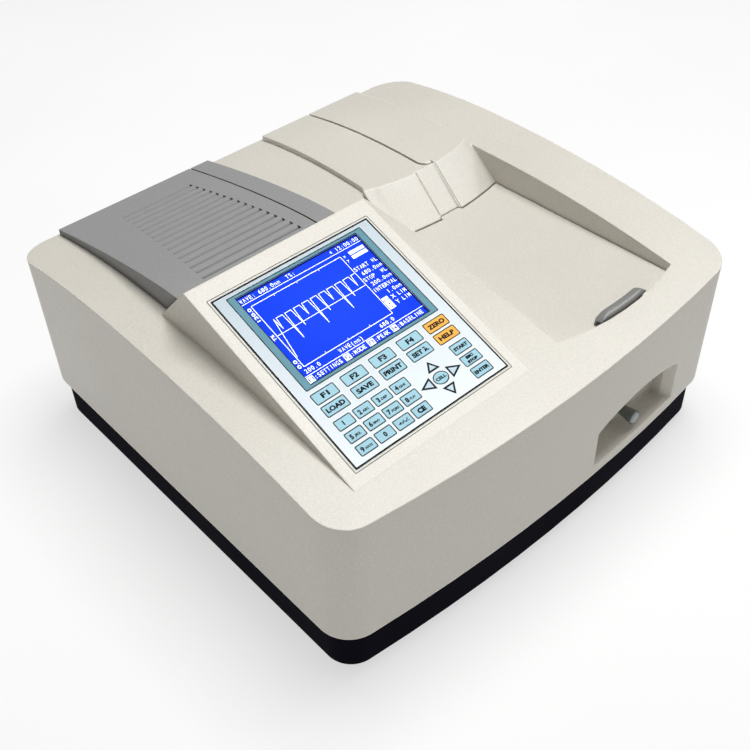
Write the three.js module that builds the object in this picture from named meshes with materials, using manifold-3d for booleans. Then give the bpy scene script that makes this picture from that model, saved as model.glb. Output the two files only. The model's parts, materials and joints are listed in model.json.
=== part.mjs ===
// Benchtop UV-visible spectrophotometer with a four-cell sample changer.
// Millimetres. +X is to the operator's right, +Y is to the rear, +Z is up.
// The origin is on the bench, under the middle of the instrument.
import * as THREE from 'three';
import { mergeVertices } from 'three/addons/utils/BufferGeometryUtils.js';
import Module from 'manifold-3d';

const wasm = await Module();
wasm.setup();

// ---------------------------------------------------------------- dimensions

const GAP = 0.3; // between pieces that touch

// Casing
const WIDTH = 438;
const DEPTH = 432; // over the bowed front
const FRONT_BOW = 11.3;
const CORNER_R = 29;
const WALL = 3;
const FOOT_H = 6;
const TRAY_INSET = 5; // the tray stands back under the housing
const TRAY_FLOOR = 3;
const TRAY_LIP_Z = 53.5;
const HOUSING_Z0 = 47; // lower edge of the upper housing

// Arched top: highest at the crest, falling to the front and the rear
const CREST_Y = 42;
const CREST_Z = 195.4;
const FRONT_DROP = 26.4;
const REAR_DROP = 18.1;
const ARCH_POWER = 2.2;
const ARCH_STEPS = 26;

// Console: a wedge with a tilted face, measured from the display's centre
const FACE_TILT = THREE.MathUtils.degToRad(18.9);
const FACE_X = -96.5;
const FACE_Y = -61.3;
const FACE_Z = 217.2;
const CONSOLE_HALF_W = 87;
const FACE_BOTTOM = -125.9; // along the slope
const FACE_TOP = 68.1;
const CONSOLE_FOOT_Y = 42.9; // where the console's back meets the arch
const OVERLAY_HALF_W = 75.3;
const OVERLAY_BOTTOM = -114.1;
const OVERLAY_TOP = 51.1;
const OVERLAY_T = 0.8;
const OVERLAY_SEAT = 0.9;
const DISPLAY_W = 115.2; // active area of a 5.7 inch display
const DISPLAY_H = 86.4;
const DISPLAY_BORDER = 2.5;

// Lid pocket on the right of the top
const LID_MID_X = 98;
const LID_TOP_Z = 169.5;
const LID_T = 5;
const LID_GAP = 0.95;
const HANDLE = {
  midX: LID_MID_X + 2, half: 30, width: 10, gap: 1.5, undercut: 4.5, endRun: { left: 12, right: 6 },
};
const LID_REAR_RELIEF = 0.8; // lets the rear edge swing down past the wall
const LEDGE_Z = LID_TOP_Z - LID_T - GAP;
const POCKET_FRONT_Y = -184.7;
const POCKET_FRONT_BOW = 9.5;
const POCKET_HALF_FRONT = 70.5;
const POCKET_HALF_REAR = 63.5;
const POCKET_CORNER_Y = 50;
const SLOPE_FOOT_Y = 9.2;
const SLOPE_FOOT_BOW = 7.4;
const SLOPE_RUN = 1.106; // backwards for each millimetre up
const SLOPE_EXTRA_BOW = 0.12; // more bow for each millimetre up
const HINGE_Y = 5.5;
const HINGE_Z = LID_TOP_Z - LID_T / 2;
const MOUTH = { x0: 52, x1: 148, y0: -168, y1: -5 };

// Raised covers behind the lid, parted by a seam
const RAISE = 5;
const SEAM = 2.6;
const SEAM_END_Y = 46.9;
const SEAM_X_REAR = 102.5;
const SEAM_X_FRONT = 99.8;
const SEAT_BACK = 6.5; // the spine cover's seat on the slope
const CHANNEL = { x0: 86, x1: 111.5, draft: 2.5, foot: 3.2, crest: 1.4 }; // set back by foot and crest
const CHANNEL_LINE = { width: 2.6, depth: 1.4 }; // groove along its left side

// Ventilation hump on the left of the top
const VENT = { x0: -177, seam: -39, x1: -19, rear: 213 };
const VENT_FRONT_Y = 24;
const VENT_FRONT_Z = 218;
const VENT_DROP = 34;
const VENT_POWER = 1.4;
const VENT_WALL = 2.5;
const LOUVRES = 16;
const LOUVRE_REAR_Y = 182;
const LOUVRE_X = [-133.5, -60.8]; // ends of the shortest, at the rear
const LOUVRE_SPREAD = 9.2; // each end reaches further towards the front
const LOUVRE_PITCH = 9.6;
const LOUVRE_W = 6.4; // length of each trough, down to its front edge
const LOUVRE_DEPTH = 5.4;
const LOUVRE_POWER = 2;
const LOUVRE_ROOF = 0.8; // skin over the hole that runs on past each trough's end
const VENT_SEAM = 1.4;

// Finger recess round the pull knob, in the front wall
const RECESS_HALF_W = 58;
const RECESS_CHAMFER = 9;
const RECESS_Z0 = 57;
const RECESS_SIDE_Z = 97;
const RECESS_MID_Z = 109.7;
const RECESS_BACK_Y = -190.6;

// Sample changer
const BEAM_Y = -91;
const BEAM_Z = 82;
const CHANGER_X = 100;
const CELL_PITCH = 16;
const CELLS = 4;
const CELL_SLOT = 12.9;
const CELL_FLOOR_Z = 67;
const BLOCK_TOP_Z = 96;
const BLOCK_HALF_W = 13;
const RAIL_R = 3;
const RAIL_OFFSET = 22;
const RAIL_Z = 58;
const PULL_R = 3;
const PULL_Z = 71;
const KNOB_FRONT_Y = -210;
const KNOB_BACK_Y = -191.5;
const TUB = { x0: 48, x1: 152, y0: -174, y1: 0, z0: 41, z1: LEDGE_Z - WALL - GAP, t: 3 };

// Optical bench
const BENCH_Z0 = 30.7;
const BENCH_Z1 = 40.7;
const MONO = { x0: -112, x1: 36, y0: -150, y1: 44, z1: 112, t: 4 };
const MONO_FLOOR = BENCH_Z1 + GAP + MONO.t;
const BENCH_RIGHT = 66;
const SHAFT_R = 3;
const GRATING_X = -66;
const GRATING_Y = -20;
const WHEEL_PULLEY_R = 24;
const MOTOR_PULLEY_R = 6;
const MOTOR_X = -30;
const MOTOR_Y = -128;

// Lamps and the mirror that picks one of them
const LAMP = { x0: -120, x1: 60, y0: 72, y1: 160, z1: 128, t: 2.5 };
const LAMP_X = 10; // the beam leaves the lamp housing here, towards the front
const LAMP_Y = 116;
const D2_X = -60;
const HALOGEN_X = 42;
const FILTER_R = 17;

// Rear panel
const PANEL_Y0 = 207;
const PANEL_Y1 = 209; // floor of the dish that holds the connectors
const PANEL_RIM_Y1 = 212.7;
const INLET = { x: 150, z: 84 };
const SWITCH = { x: 104, z: 84 };
const FUSE = { x: 150, z: 122 };
const SERIAL = { x: 40, z: 84 };
const FAN = { x: -100, z: 104, size: 80, depth: 25 };
const ROCKER_Y = 204;
const ROCKER_TILT = -10;

const COVER_SCREW_X = [-184, 184];
const COVER_SCREW_Z = 120;
const BENCH_POSTS = [[-160, -150], [-160, 160], [10, 160], [30, -150], [190, -150], [190, -30]];
const FEET_X = 168;
const FEET_Y = 160;

// ----------------------------------------------------------------- materials

function finish(color, roughness, metalness = 0) {
  return new THREE.MeshStandardMaterial({ color, roughness, metalness });
}

const cream = () => finish(0xd9d4c9, 0.62);
const ventGrey = () => finish(0x8f9193, 0.6);
const black = () => finish(0x14131a, 0.55);
const steel = () => finish(0xb4b6b8, 0.3, 0.9);
const castAlloy = () => finish(0x9a9c9e, 0.5, 0.8);
const mirrorGlass = () => finish(0xdfe4ea, 0.05, 1);
const clearGlass = () => finish(0xe6eef2, 0.05);
const rubber = () => finish(0x1b1b1d, 0.85);
const boardGreen = () => finish(0x1e5a34, 0.5);

// ------------------------------------------------------------ solid modelling

// Turns a closed geometry into a solid that can be joined and cut.
function solid(geometry) {
  const bare = geometry.clone();
  bare.deleteAttribute('normal');
  bare.deleteAttribute('uv');
  const merged = mergeVertices(bare, 1e-4);
  const vertProperties = new Float32Array(merged.attributes.position.array);
  const triVerts = new Uint32Array(merged.index.array);
  return new wasm.Manifold(new wasm.Mesh({ numProp: 3, vertProperties, triVerts }));
}

function geometryOf(body) {
  const mesh = body.getMesh();
  const geometry = new THREE.BufferGeometry();
  geometry.setAttribute('position', new THREE.BufferAttribute(mesh.vertProperties, 3));
  geometry.setIndex(new THREE.BufferAttribute(mesh.triVerts, 1));
  geometry.computeVertexNormals();
  return geometry;
}

const join = (first, ...rest) => rest.reduce((sum, next) => sum.add(next), first);
const cut = (first, ...rest) => rest.reduce((left, next) => left.subtract(next), first);

function boxGeometry(x0, x1, y0, y1, z0, z1) {
  const geometry = new THREE.BoxGeometry(x1 - x0, y1 - y0, z1 - z0);
  return geometry.translate((x0 + x1) / 2, (y0 + y1) / 2, (z0 + z1) / 2);
}

const block = (...sides) => solid(boxGeometry(...sides));

// A round bar or, for cutting, a round hole, along one axis from a to b.
function bar(axis, [x, y, z], radius, a, b, sides = 20) {
  const geometry = new THREE.CylinderGeometry(radius, radius, b - a, sides);
  const middle = (a + b) / 2;
  if (axis === 'x') geometry.rotateZ(Math.PI / 2).translate(middle, y, z);
  if (axis === 'y') geometry.translate(x, middle, z);
  if (axis === 'z') geometry.rotateX(Math.PI / 2).translate(x, y, middle);
  return solid(geometry);
}

// A turned piece along +Z from its [radius, height] outline, which ends on the axis.
function turned(outline, sides = 24) {
  const points = outline.map(([r, h]) => new THREE.Vector2(r, h));
  return new THREE.LatheGeometry(points, sides).rotateX(Math.PI / 2);
}

const shapeOf = (points) => new THREE.Shape(points.map(([a, b]) => new THREE.Vector2(a, b)));

function prism(outline, depth, curveSegments = 6) {
  const shape = Array.isArray(outline) ? shapeOf(outline) : outline;
  return new THREE.ExtrudeGeometry(shape, { depth, curveSegments, bevelEnabled: false });
}

// Prisms with their outline in XY, YZ or XZ.
const slab = (outline, z0, z1, segments) => solid(prism(outline, z1 - z0, segments).translate(0, 0, z0));

function profileX(outline, x0, x1) {
  const turn = new THREE.Matrix4().set(0, 0, 1, x0, 1, 0, 0, 0, 0, 1, 0, 0, 0, 0, 0, 1);
  return solid(prism(outline, x1 - x0).applyMatrix4(turn));
}

function profileY(outline, y0, y1, segments) {
  return solid(prism(outline, y1 - y0, segments).rotateX(Math.PI / 2).translate(0, y1, 0));
}

// A solid between two outlines of equally many points at heights z0 and z1.
function loft(lower, z0, upper, z1) {
  const count = lower.length;
  const points = [...lower.map(([x, y]) => [x, y, z0]), ...upper.map(([x, y]) => [x, y, z1])];
  const index = [];
  for (let i = 0; i < count; i += 1) {
    const next = (i + 1) % count;
    index.push(i, next, count + next, i, count + next, count + i);
  }
  const caps = (outline) => THREE.ShapeUtils.triangulateShape(
    outline.map(([x, y]) => new THREE.Vector2(x, y)), []);
  for (const [a, b, c] of caps(lower)) index.push(a, c, b);
  for (const [a, b, c] of caps(upper)) index.push(count + a, count + b, count + c);
  const geometry = new THREE.BufferGeometry();
  geometry.setAttribute('position', new THREE.Float32BufferAttribute(points.flat(), 3));
  geometry.setIndex(index);
  return solid(geometry);
}

// Moves each side of an anticlockwise outline inwards.
function inset(outline, distance) {
  const count = outline.length;
  const lines = outline.map(([x, y], i) => {
    const [nx, ny] = outline[(i + 1) % count];
    const length = Math.hypot(nx - x, ny - y);
    const [dx, dy] = [(nx - x) / length, (ny - y) / length];
    return { x: x - dy * distance, y: y + dx * distance, dx, dy };
  });
  return lines.map((line, i) => {
    const before = lines[(i + count - 1) % count];
    const cross = before.dx * line.dy - before.dy * line.dx;
    if (Math.abs(cross) < 1e-6) return [line.x, line.y];
    const along = ((line.x - before.x) * line.dy - (line.y - before.y) * line.dx) / cross;
    return [before.x + before.dx * along, before.y + before.dy * along];
  });
}

const steps = (count) => Array.from({ length: count + 1 }, (_, i) => i / count);

// ------------------------------------------------------------- the instrument

const instrument = new THREE.Group();

function add(name, body, material, parent = instrument) {
  const geometry = body.isBufferGeometry ? body : geometryOf(body);
  const mesh = new THREE.Mesh(geometry, material);
  mesh.name = name;
  parent.add(mesh);
  return mesh;
}

// Height of the arched top at y.
function archZ(y) {
  const front = y < CREST_Y;
  const run = front ? CREST_Y + DEPTH / 2 : DEPTH / 2 - CREST_Y;
  const drop = front ? FRONT_DROP : REAR_DROP;
  return CREST_Z - drop * (Math.abs(y - CREST_Y) / run) ** ARCH_POWER;
}

// Everything under the arch, lifted or lowered.
function underArch(lift, x0 = -WIDTH, x1 = WIDTH) {
  const end = DEPTH / 2 + 6;
  const top = steps(ARCH_STEPS).map((t) => end - 2 * end * t).map((y) => [y, archZ(y) + lift]);
  return profileX([[-end, 0], [end, 0], ...top], x0, x1);
}

// Plan of the casing: straight sides, round corners and a bowed front.
function casingPlan(in_) {
  const half = WIDTH / 2 - in_;
  const rear = DEPTH / 2 - in_;
  const front = -DEPTH / 2 + FRONT_BOW + in_;
  const r = CORNER_R - in_;
  const lean = Math.atan2(2 * FRONT_BOW, half - r);
  const [cx, cy] = [half - r, front + r];
  const plan = new THREE.Shape();
  plan.absarc(-cx, cy, r, Math.PI, 1.5 * Math.PI - lean, false);
  const bowX = cx + r * Math.sin(lean);
  plan.quadraticCurveTo(0, cy - r * Math.cos(lean) - bowX * Math.tan(lean), bowX, cy - r * Math.cos(lean));
  plan.absarc(cx, cy, r, 1.5 * Math.PI + lean, 2 * Math.PI, false);
  plan.absarc(cx, rear - r, r, 0, 0.5 * Math.PI, false);
  plan.absarc(-cx, rear - r, r, 0.5 * Math.PI, Math.PI, false);
  return plan;
}

const casing = (in_, z0, z1) => slab(casingPlan(in_), z0, z1, 10);

// ---- console

const facePoint = (v, w) => [
  FACE_Y + v * Math.cos(FACE_TILT) - w * Math.sin(FACE_TILT),
  FACE_Z + v * Math.sin(FACE_TILT) + w * Math.cos(FACE_TILT),
];

const faceMatrix = new THREE.Matrix4()
  .makeTranslation(FACE_X, FACE_Y, FACE_Z)
  .multiply(new THREE.Matrix4().makeRotationX(FACE_TILT));

const faceBlock = (...sides) => solid(boxGeometry(...sides).applyMatrix4(faceMatrix));

function consoleProfile() {
  const base = CREST_Z - 45;
  const [frontY] = facePoint(FACE_BOTTOM, 0);
  return [
    [frontY, base],
    [CONSOLE_FOOT_Y, base],
    [CONSOLE_FOOT_Y, archZ(CONSOLE_FOOT_Y)],
    facePoint(FACE_TOP, 0),
    facePoint(FACE_BOTTOM, 0),
  ];
}

function consoleWedge(wall) {
  const outline = wall > 0 ? inset(consoleProfile(), wall) : consoleProfile();
  return profileX(outline, FACE_X - CONSOLE_HALF_W + wall, FACE_X + CONSOLE_HALF_W - wall);
}

function faceOpenings() {
  const w = DISPLAY_W / 2 + DISPLAY_BORDER + 0.5;
  const h = DISPLAY_H / 2 + DISPLAY_BORDER + 0.5;
  const seat = faceBlock(-OVERLAY_HALF_W - GAP, OVERLAY_HALF_W + GAP,
    OVERLAY_BOTTOM - GAP, OVERLAY_TOP + GAP, -OVERLAY_SEAT, 20);
  const window = faceBlock(-w, w, -h, h, -20, 1);
  const tailSlot = faceBlock(-13, 13, -109.5, -106, -20, 1);
  return join(seat, window, tailSlot);
}

// ---- lid pocket

const slopeBow = (x) => ((x - LID_MID_X) / (POCKET_HALF_REAR)) ** 2;

// Rear wall of the pocket: upright to the lid's height, then sloping back.
function pocketRearY(x, z) {
  const up = Math.max(0, z - LID_TOP_Z);
  return SLOPE_FOOT_Y + SLOPE_FOOT_BOW * slopeBow(x) + up * (SLOPE_RUN + SLOPE_EXTRA_BOW * slopeBow(x));
}

// Outline of the pocket at height z, grown outwards and with its slope set back.
function pocketPlan(z, grow, back) {
  const halfAt = (y) => grow + POCKET_HALF_REAR
    + (POCKET_HALF_FRONT - POCKET_HALF_REAR) * (POCKET_CORNER_Y - y) / (POCKET_CORNER_Y - POCKET_FRONT_Y);
  const frontHalf = halfAt(POCKET_FRONT_Y);
  const rearHalf = halfAt(SLOPE_FOOT_Y);
  const front = steps(8).map((t) => 2 * t - 1).map((t) => [
    LID_MID_X + t * frontHalf,
    POCKET_FRONT_Y - grow + POCKET_FRONT_BOW * t * t,
  ]);
  const rear = steps(8).map((t) => 1 - 2 * t).map((t) => {
    const x = LID_MID_X + t * rearHalf;
    return [x, pocketRearY(x, z) + grow + back];
  });
  return [...front, ...rear];
}

function pocket(floorZ, grow = 0, back = 0) {
  const top = CREST_Z + 25;
  const low = pocketPlan(floorZ, grow, back);
  const high = pocketPlan(top, grow, back);
  const foot = LID_TOP_Z - grow;
  return join(loft(low, floorZ, low, foot), loft(low, foot, high, top));
}

// ---- raised covers

// The seam runs forward from the rear, then bends right above the channel.
function seamLine(side) {
  const shift = side * SEAM / 2;
  const endX = CHANNEL.x1 + Math.min(0, side) * GAP;
  const bend = new THREE.QuadraticBezierCurve(
    new THREE.Vector2(SEAM_X_FRONT + shift, SEAM_END_Y + 9),
    new THREE.Vector2(SEAM_X_FRONT + shift, SEAM_END_Y + shift),
    new THREE.Vector2(endX, SEAM_END_Y + shift),
  );
  return [[SEAM_X_REAR + shift, DEPTH / 2 - WALL], ...bend.getPoints(5).map(({ x, y }) => [x, y])];
}

// Left side of the pocket, which flares towards the front.
function pocketLeftX(y) {
  const t = (POCKET_CORNER_Y - y) / (POCKET_CORNER_Y - POCKET_FRONT_Y);
  return LID_MID_X - POCKET_HALF_REAR - (POCKET_HALF_FRONT - POCKET_HALF_REAR) * t;
}

function spineCoverPlan() {
  const rightX = CHANNEL.x1 - GAP;
  return [
    [pocketLeftX(6) + GAP, 6],
    [rightX, 6],
    ...seamLine(-1).reverse(),
    [45.2, DEPTH / 2 - WALL],
    [38.4, 60],
    [pocketLeftX(50) + GAP, 54],
  ];
}

const rightRisePlan = () => [
  [CHANNEL.x1, 0],
  [LID_MID_X + POCKET_HALF_REAR - 4, 0],
  [LID_MID_X + POCKET_HALF_REAR + 4, DEPTH / 2 - WALL],
  ...seamLine(1),
];

// How far the channel's floor lies behind the slope at height z.
function channelBack(z) {
  const t = (z - LID_TOP_Z) / (CREST_Z + RAISE - LID_TOP_Z);
  return CHANNEL.foot + (CHANNEL.crest - CHANNEL.foot) * Math.max(0, t);
}

// The channel down the slope to the lid: upright on its left, drafted on its right.
function channelPlan(z) {
  const atRear = (x, back) => [x, pocketRearY(x, z) + back];
  return [
    [CHANNEL.x0, -2],
    [CHANNEL.x1, -2],
    atRear(CHANNEL.x1, 0),
    atRear(CHANNEL.x1 - CHANNEL.draft, channelBack(z)),
    atRear(CHANNEL.x0, channelBack(z)),
  ];
}

const channelFoot = (z0, z1) => loft(channelPlan(LID_TOP_Z), z0, channelPlan(LID_TOP_Z), z1);

function channel() {
  const top = CREST_Z + 15;
  const slope = loft(channelPlan(LID_TOP_Z), LID_TOP_Z, channelPlan(top), top);
  return join(channelFoot(LEDGE_Z, LID_TOP_Z), slope);
}

// The groove that sets off the channel's left side.
function channelLine() {
  const { width, depth } = CHANNEL_LINE;
  const plan = (z) => {
    const y = pocketRearY(CHANNEL.x0, z) + channelBack(z);
    return [
      [CHANNEL.x0, y - 1],
      [CHANNEL.x0 + width, y - 1],
      [CHANNEL.x0 + width, y + depth],
      [CHANNEL.x0, y + depth],
    ];
  };
  return loft(plan(LID_TOP_Z), LID_TOP_Z, plan(CREST_Z + 15), CREST_Z + 15);
}

// The part of the pocket whose slope is set back to seat the spine cover.
function seatPocket(shrink) {
  const back = pocket(LEDGE_Z, 0, SEAT_BACK - shrink);
  return back.intersect(block(0, CHANNEL.x1 - shrink, 0, 90, LEDGE_Z + shrink, 240));
}

// ---- finger recess

function recessPlan(grow) {
  const half = RECESS_HALF_W + grow;
  const inner = half - RECESS_CHAMFER;
  const back = RECESS_BACK_Y + grow;
  return [
    [CHANGER_X - half, -DEPTH],
    [CHANGER_X + half, -DEPTH],
    [CHANGER_X + half, -212 + grow],
    [CHANGER_X + inner, -212 + RECESS_CHAMFER + 3 + grow],
    [CHANGER_X + inner, back],
    [CHANGER_X - inner, back],
    [CHANGER_X - inner, -212 + RECESS_CHAMFER + 3 + grow],
    [CHANGER_X - half, -212 + grow],
  ];
}

function fingerRecess(grow) {
  const mouth = new THREE.Shape();
  const half = RECESS_HALF_W + grow;
  mouth.moveTo(CHANGER_X - half, RECESS_Z0 - grow);
  mouth.lineTo(CHANGER_X + half, RECESS_Z0 - grow);
  mouth.lineTo(CHANGER_X + half, RECESS_SIDE_Z + grow);
  mouth.quadraticCurveTo(CHANGER_X, 2 * RECESS_MID_Z - RECESS_SIDE_Z + grow,
    CHANGER_X - half, RECESS_SIDE_Z + grow);
  const arch = profileY(mouth, -DEPTH, RECESS_BACK_Y + grow, 10);
  return arch.intersect(slab(recessPlan(grow), 0, 200));
}

// ---- casing pieces

function upperHousing() {
  const rise = underArch(RAISE).intersect(slab(rightRisePlan(), 100, 230));
  const outside = join(
    casing(0, HOUSING_Z0, 260).intersect(underArch(0)),
    consoleWedge(0),
    rise,
  );
  const seat = seatPocket(0);
  const hollow = cut(
    join(casing(WALL, 0, 260).intersect(underArch(-WALL)), consoleWedge(WALL + OVERLAY_SEAT)),
    pocket(LEDGE_Z - WALL, WALL),
    pocket(LEDGE_Z - WALL, WALL, SEAT_BACK).intersect(block(0, CHANNEL.x1 + WALL, 0, 90, 100, 240)),
    fingerRecess(WALL),
  );
  const { x0, x1, y0, y1 } = MOUTH;
  const [slotZ0, slotZ1] = [LEDGE_Z - 8, LEDGE_Z + 1];
  const openings = [
    block(x0, x1, y0, y1, slotZ0, slotZ1),
    pocket(LEDGE_Z - 20, -GAP).intersect(block(0, 200, y1 - 0.1, 40, slotZ0, slotZ1)),
    channelFoot(slotZ0, slotZ1),
    block(-165, -50, 56, 200, 150, 230),
    block(-178, 178, PANEL_Y0 - 4, DEPTH / 2 + 2, 0, 152),
    bar('x', [0, HINGE_Y, HINGE_Z], 1.9, 20, 180),
    bar('y', [CHANGER_X, 0, PULL_Z], PULL_R + 1, -200, -180),
    faceOpenings(),
  ];
  for (const x of COVER_SCREW_X) {
    openings.push(bar('y', [x, 0, COVER_SCREW_Z], 2.3, 200, 220, 12));
    openings.push(bar('y', [x, 0, COVER_SCREW_Z], 4.6, DEPTH / 2 - 2, 220, 16));
  }
  return cut(outside, pocket(LEDGE_Z), seat, fingerRecess(0), hollow, ...openings);
}

// A raised cover that lies on the top and runs down the slope to the lid.
function spineCover() {
  const raised = underArch(RAISE).intersect(slab(spineCoverPlan(), LEDGE_Z + GAP, 230));
  const housing = cut(underArch(GAP), seatPocket(GAP));
  const keepBehindLid = pocket(LEDGE_Z, 0);
  return cut(raised, housing, keepBehindLid, channel(), channelLine());
}

function baseTray() {
  const shell = cut(
    casing(TRAY_INSET, FOOT_H + GAP, TRAY_LIP_Z),
    casing(TRAY_INSET + WALL, FOOT_H + GAP + TRAY_FLOOR, TRAY_LIP_Z + 1),
  );
  const rearNotch = block(-198, 198, 180, 240, HOUSING_Z0 - GAP, 80);
  const z0 = FOOT_H + GAP + TRAY_FLOOR - 0.5;
  const posts = BENCH_POSTS.map(([x, y]) => bar('z', [x, y, 0], 7, z0, BENCH_Z0 - GAP, 16));
  const supplyPosts = [[86, 40], [178, 40], [86, 176], [178, 176]]
    .map(([x, y]) => bar('z', [x, y, 0], 4, z0, 14, 12));
  const footHoles = feetPlaces().map(([x, y]) => bar('z', [x, y, 0], 3.4, 0, 20, 16));
  return cut(join(shell, ...posts, ...supplyPosts), rearNotch, ...footHoles);
}

const feetPlaces = () => [[-FEET_X, -FEET_Y], [FEET_X, -FEET_Y], [-FEET_X, FEET_Y], [FEET_X, FEET_Y]];

function addFeet() {
  const outline = [[0, 0], [9, 0], [10.5, 1], [11.5, FOOT_H], [3, FOOT_H], [3, 12], [0, 12]];
  feetPlaces().forEach(([x, y], i) => {
    add(`foot_${i + 1}`, turned(outline, 20), rubber()).position.set(x, y, 0);
  });
}

// ---- ventilation hump

const ventZ = (y) => VENT_FRONT_Z
  - VENT_DROP * (Math.max(0, y - VENT_FRONT_Y) / (VENT.rear - VENT_FRONT_Y)) ** VENT_POWER;

// Side view of the hump: its front end leans on the console's back.
function ventProfile(wall, below) {
  const [ridgeY, ridgeZ] = facePoint(FACE_TOP, 0);
  const lean = (CONSOLE_FOOT_Y - ridgeY) / (ridgeZ - archZ(CONSOLE_FOOT_Y));
  const backAt = (z) => CONSOLE_FOOT_Y + 0.5 + 1.35 * wall - (z - archZ(CONSOLE_FOOT_Y)) * lean;
  const frontTop = [backAt(VENT_FRONT_Z - wall), VENT_FRONT_Z - wall];
  const top = steps(10).map((t) => VENT.rear - wall - t * (VENT.rear - wall - frontTop[0]))
    .map((y) => [y, ventZ(y) - wall]);
  const under = steps(8).map((t) => backAt(CREST_Z) + t * (VENT.rear - wall - backAt(CREST_Z)))
    .map((y) => [y, archZ(y) + GAP - below]);
  return [...under, ...top];
}

function ventShell(x0, x1) {
  const outside = profileX(ventProfile(0, 0), x0, x1);
  const inside = profileX(ventProfile(VENT_WALL, 12), x0 + VENT_WALL, x1 - VENT_WALL);
  return cut(outside, inside);
}

// A trough that falls ever more steeply to the front and opens at its deepest. Its right end
// runs on into a hole under the skin.
function louvre(i) {
  const widen = (LOUVRE_SPREAD * i) / (LOUVRES - 1);
  const [x0, x1] = [LOUVRE_X[0] - 1.65 * widen, LOUVRE_X[1] + widen];
  const rear = LOUVRE_REAR_Y - i * LOUVRE_PITCH;
  const front = rear - LOUVRE_W;
  const floor = steps(6).map((k) => rear - k * LOUVRE_W)
    .map((y) => [y, ventZ(y) - LOUVRE_DEPTH * ((rear - y) / LOUVRE_W) ** LOUVRE_POWER]);
  const trough = profileX([...floor, [front, ventZ(front) + 2], [rear, ventZ(rear) + 2]], x0, x1);
  const under = (y) => [y, ventZ(y) - LOUVRE_ROOF];
  const deep = ventZ(rear) - VENT_WALL - 3;
  const back = rear - 0.6;
  const hole = profileX([under(back), under(front), [front, deep], [back, deep]], x1 - 0.6, x1 + 3);
  return join(trough, hole);
}

function ventCover() {
  const louvres = Array.from({ length: LOUVRES }, (_, i) => louvre(i));
  return cut(ventShell(VENT.x0, VENT.seam - VENT_SEAM / 2), ...louvres);
}

// ---- sample lid

function sampleLid() {
  const plan = pocketPlan(LID_TOP_Z, -LID_GAP, -LID_REAR_RELIEF);
  const plate = loft(plan, LID_TOP_Z - LID_T, plan, LID_TOP_Z);
  const tab = slab(inset(channelPlan(LID_TOP_Z), LID_GAP), LID_TOP_Z - LID_T, LID_TOP_Z);
  const lip = cut(
    block(MOUTH.x0 + 2, MOUTH.x1 - 2, MOUTH.y0 + 3, MOUTH.y1 - 5, LEDGE_Z - 6, LID_TOP_Z - 1),
    block(MOUTH.x0 + 5, MOUTH.x1 - 5, MOUTH.y0 + 6, MOUTH.y1 - 8, LEDGE_Z - 7, LID_TOP_Z - LID_T),
  );
  const pinHoles = [
    bar('x', [0, HINGE_Y, HINGE_Z], 1.5 + GAP, 0, pocketLeftX(HINGE_Y) + 14, 12),
    bar('x', [0, HINGE_Y, HINGE_Z], 1.5 + GAP, 2 * LID_MID_X - pocketLeftX(HINGE_Y) - 14, 200, 12),
  ];
  return cut(join(plate, tab, lip), ...pinHoles, handleNotch());
}

function hingePin(side) {
  const edge = LID_MID_X - pocketLeftX(HINGE_Y);
  const inner = LID_MID_X + side * (edge - 13);
  const outer = LID_MID_X + side * (edge + WALL);
  return bar('x', [0, HINGE_Y, HINGE_Z], 1.5, Math.min(inner, outer), Math.max(inner, outer), 12);
}

// Follows the bowed front edge of the lid, at a distance dx from the bar's middle.
function handleFront(dx) {
  return POCKET_FRONT_Y + HANDLE.gap + POCKET_FRONT_BOW * ((dx + 2) / POCKET_HALF_FRONT) ** 2;
}

// The bar's outline at one height: its ends run out to the front edge, the left one further.
// The front is set back where fingers reach under the bar.
function handlePlan(shrink, setBack, drop) {
  const tip = (side) => HANDLE.half - shrink - drop * HANDLE.endRun[side];
  const turn = (side) => tip(side) - HANDLE.endRun[side];
  const width = HANDLE.width - setBack - 2 * shrink;
  const at = (dx, back) => [HANDLE.midX + dx, handleFront(dx) + setBack + shrink + back];
  const span = (from, to, back) => steps(8).map((t) => at(from + t * (to - from), back));
  const end = (side, sign) => [1, 2, 3].map((k) => (k * Math.PI) / 8)
    .map((a) => at(sign * (turn(side) + HANDLE.endRun[side] * Math.cos(a)), width * Math.sin(a)));
  return [
    ...span(-tip('left'), tip('right'), 0),
    ...end('right', 1),
    ...span(turn('right'), -turn('left'), width),
    ...end('left', -1).reverse(),
  ];
}

// A finger bar, undercut at the front and rounded on top, whose ends slope down to the lid.
function lidHandle() {
  const setBack = HANDLE.undercut;
  const layers = [
    [0, 0.4, setBack], [4.2, 0, setBack], [4.9, 0, 0], [6.2, 0.35, 0],
    [7.4, 1.2, 0], [8.4, 2.3, 0], [9, 3.7, 0],
  ];
  const drop = (z) => 1 - Math.sqrt(1 - (z / 9.2) ** 2);
  const plans = layers.map(([z, shrink, back]) => handlePlan(shrink, back, drop(z)));
  const base = LID_TOP_Z + GAP;
  const slices = layers.slice(1).map(([z], i) => loft(plans[i], base + layers[i][0], plans[i + 1], base + z));
  return join(...slices);
}

// The finger notch in the lid's front edge, under the bar.
function handleNotch() {
  const line = (back) => steps(8).map((t) => (2 * t - 1) * (HANDLE.half - 2))
    .map((dx) => [HANDLE.midX + dx, handleFront(dx) + back]);
  const plan = [...line(-4), ...line(3.4).reverse()];
  return loft(plan, LID_TOP_Z - LID_T - 1, plan, LID_TOP_Z + 1);
}

// ---- sample compartment

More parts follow.
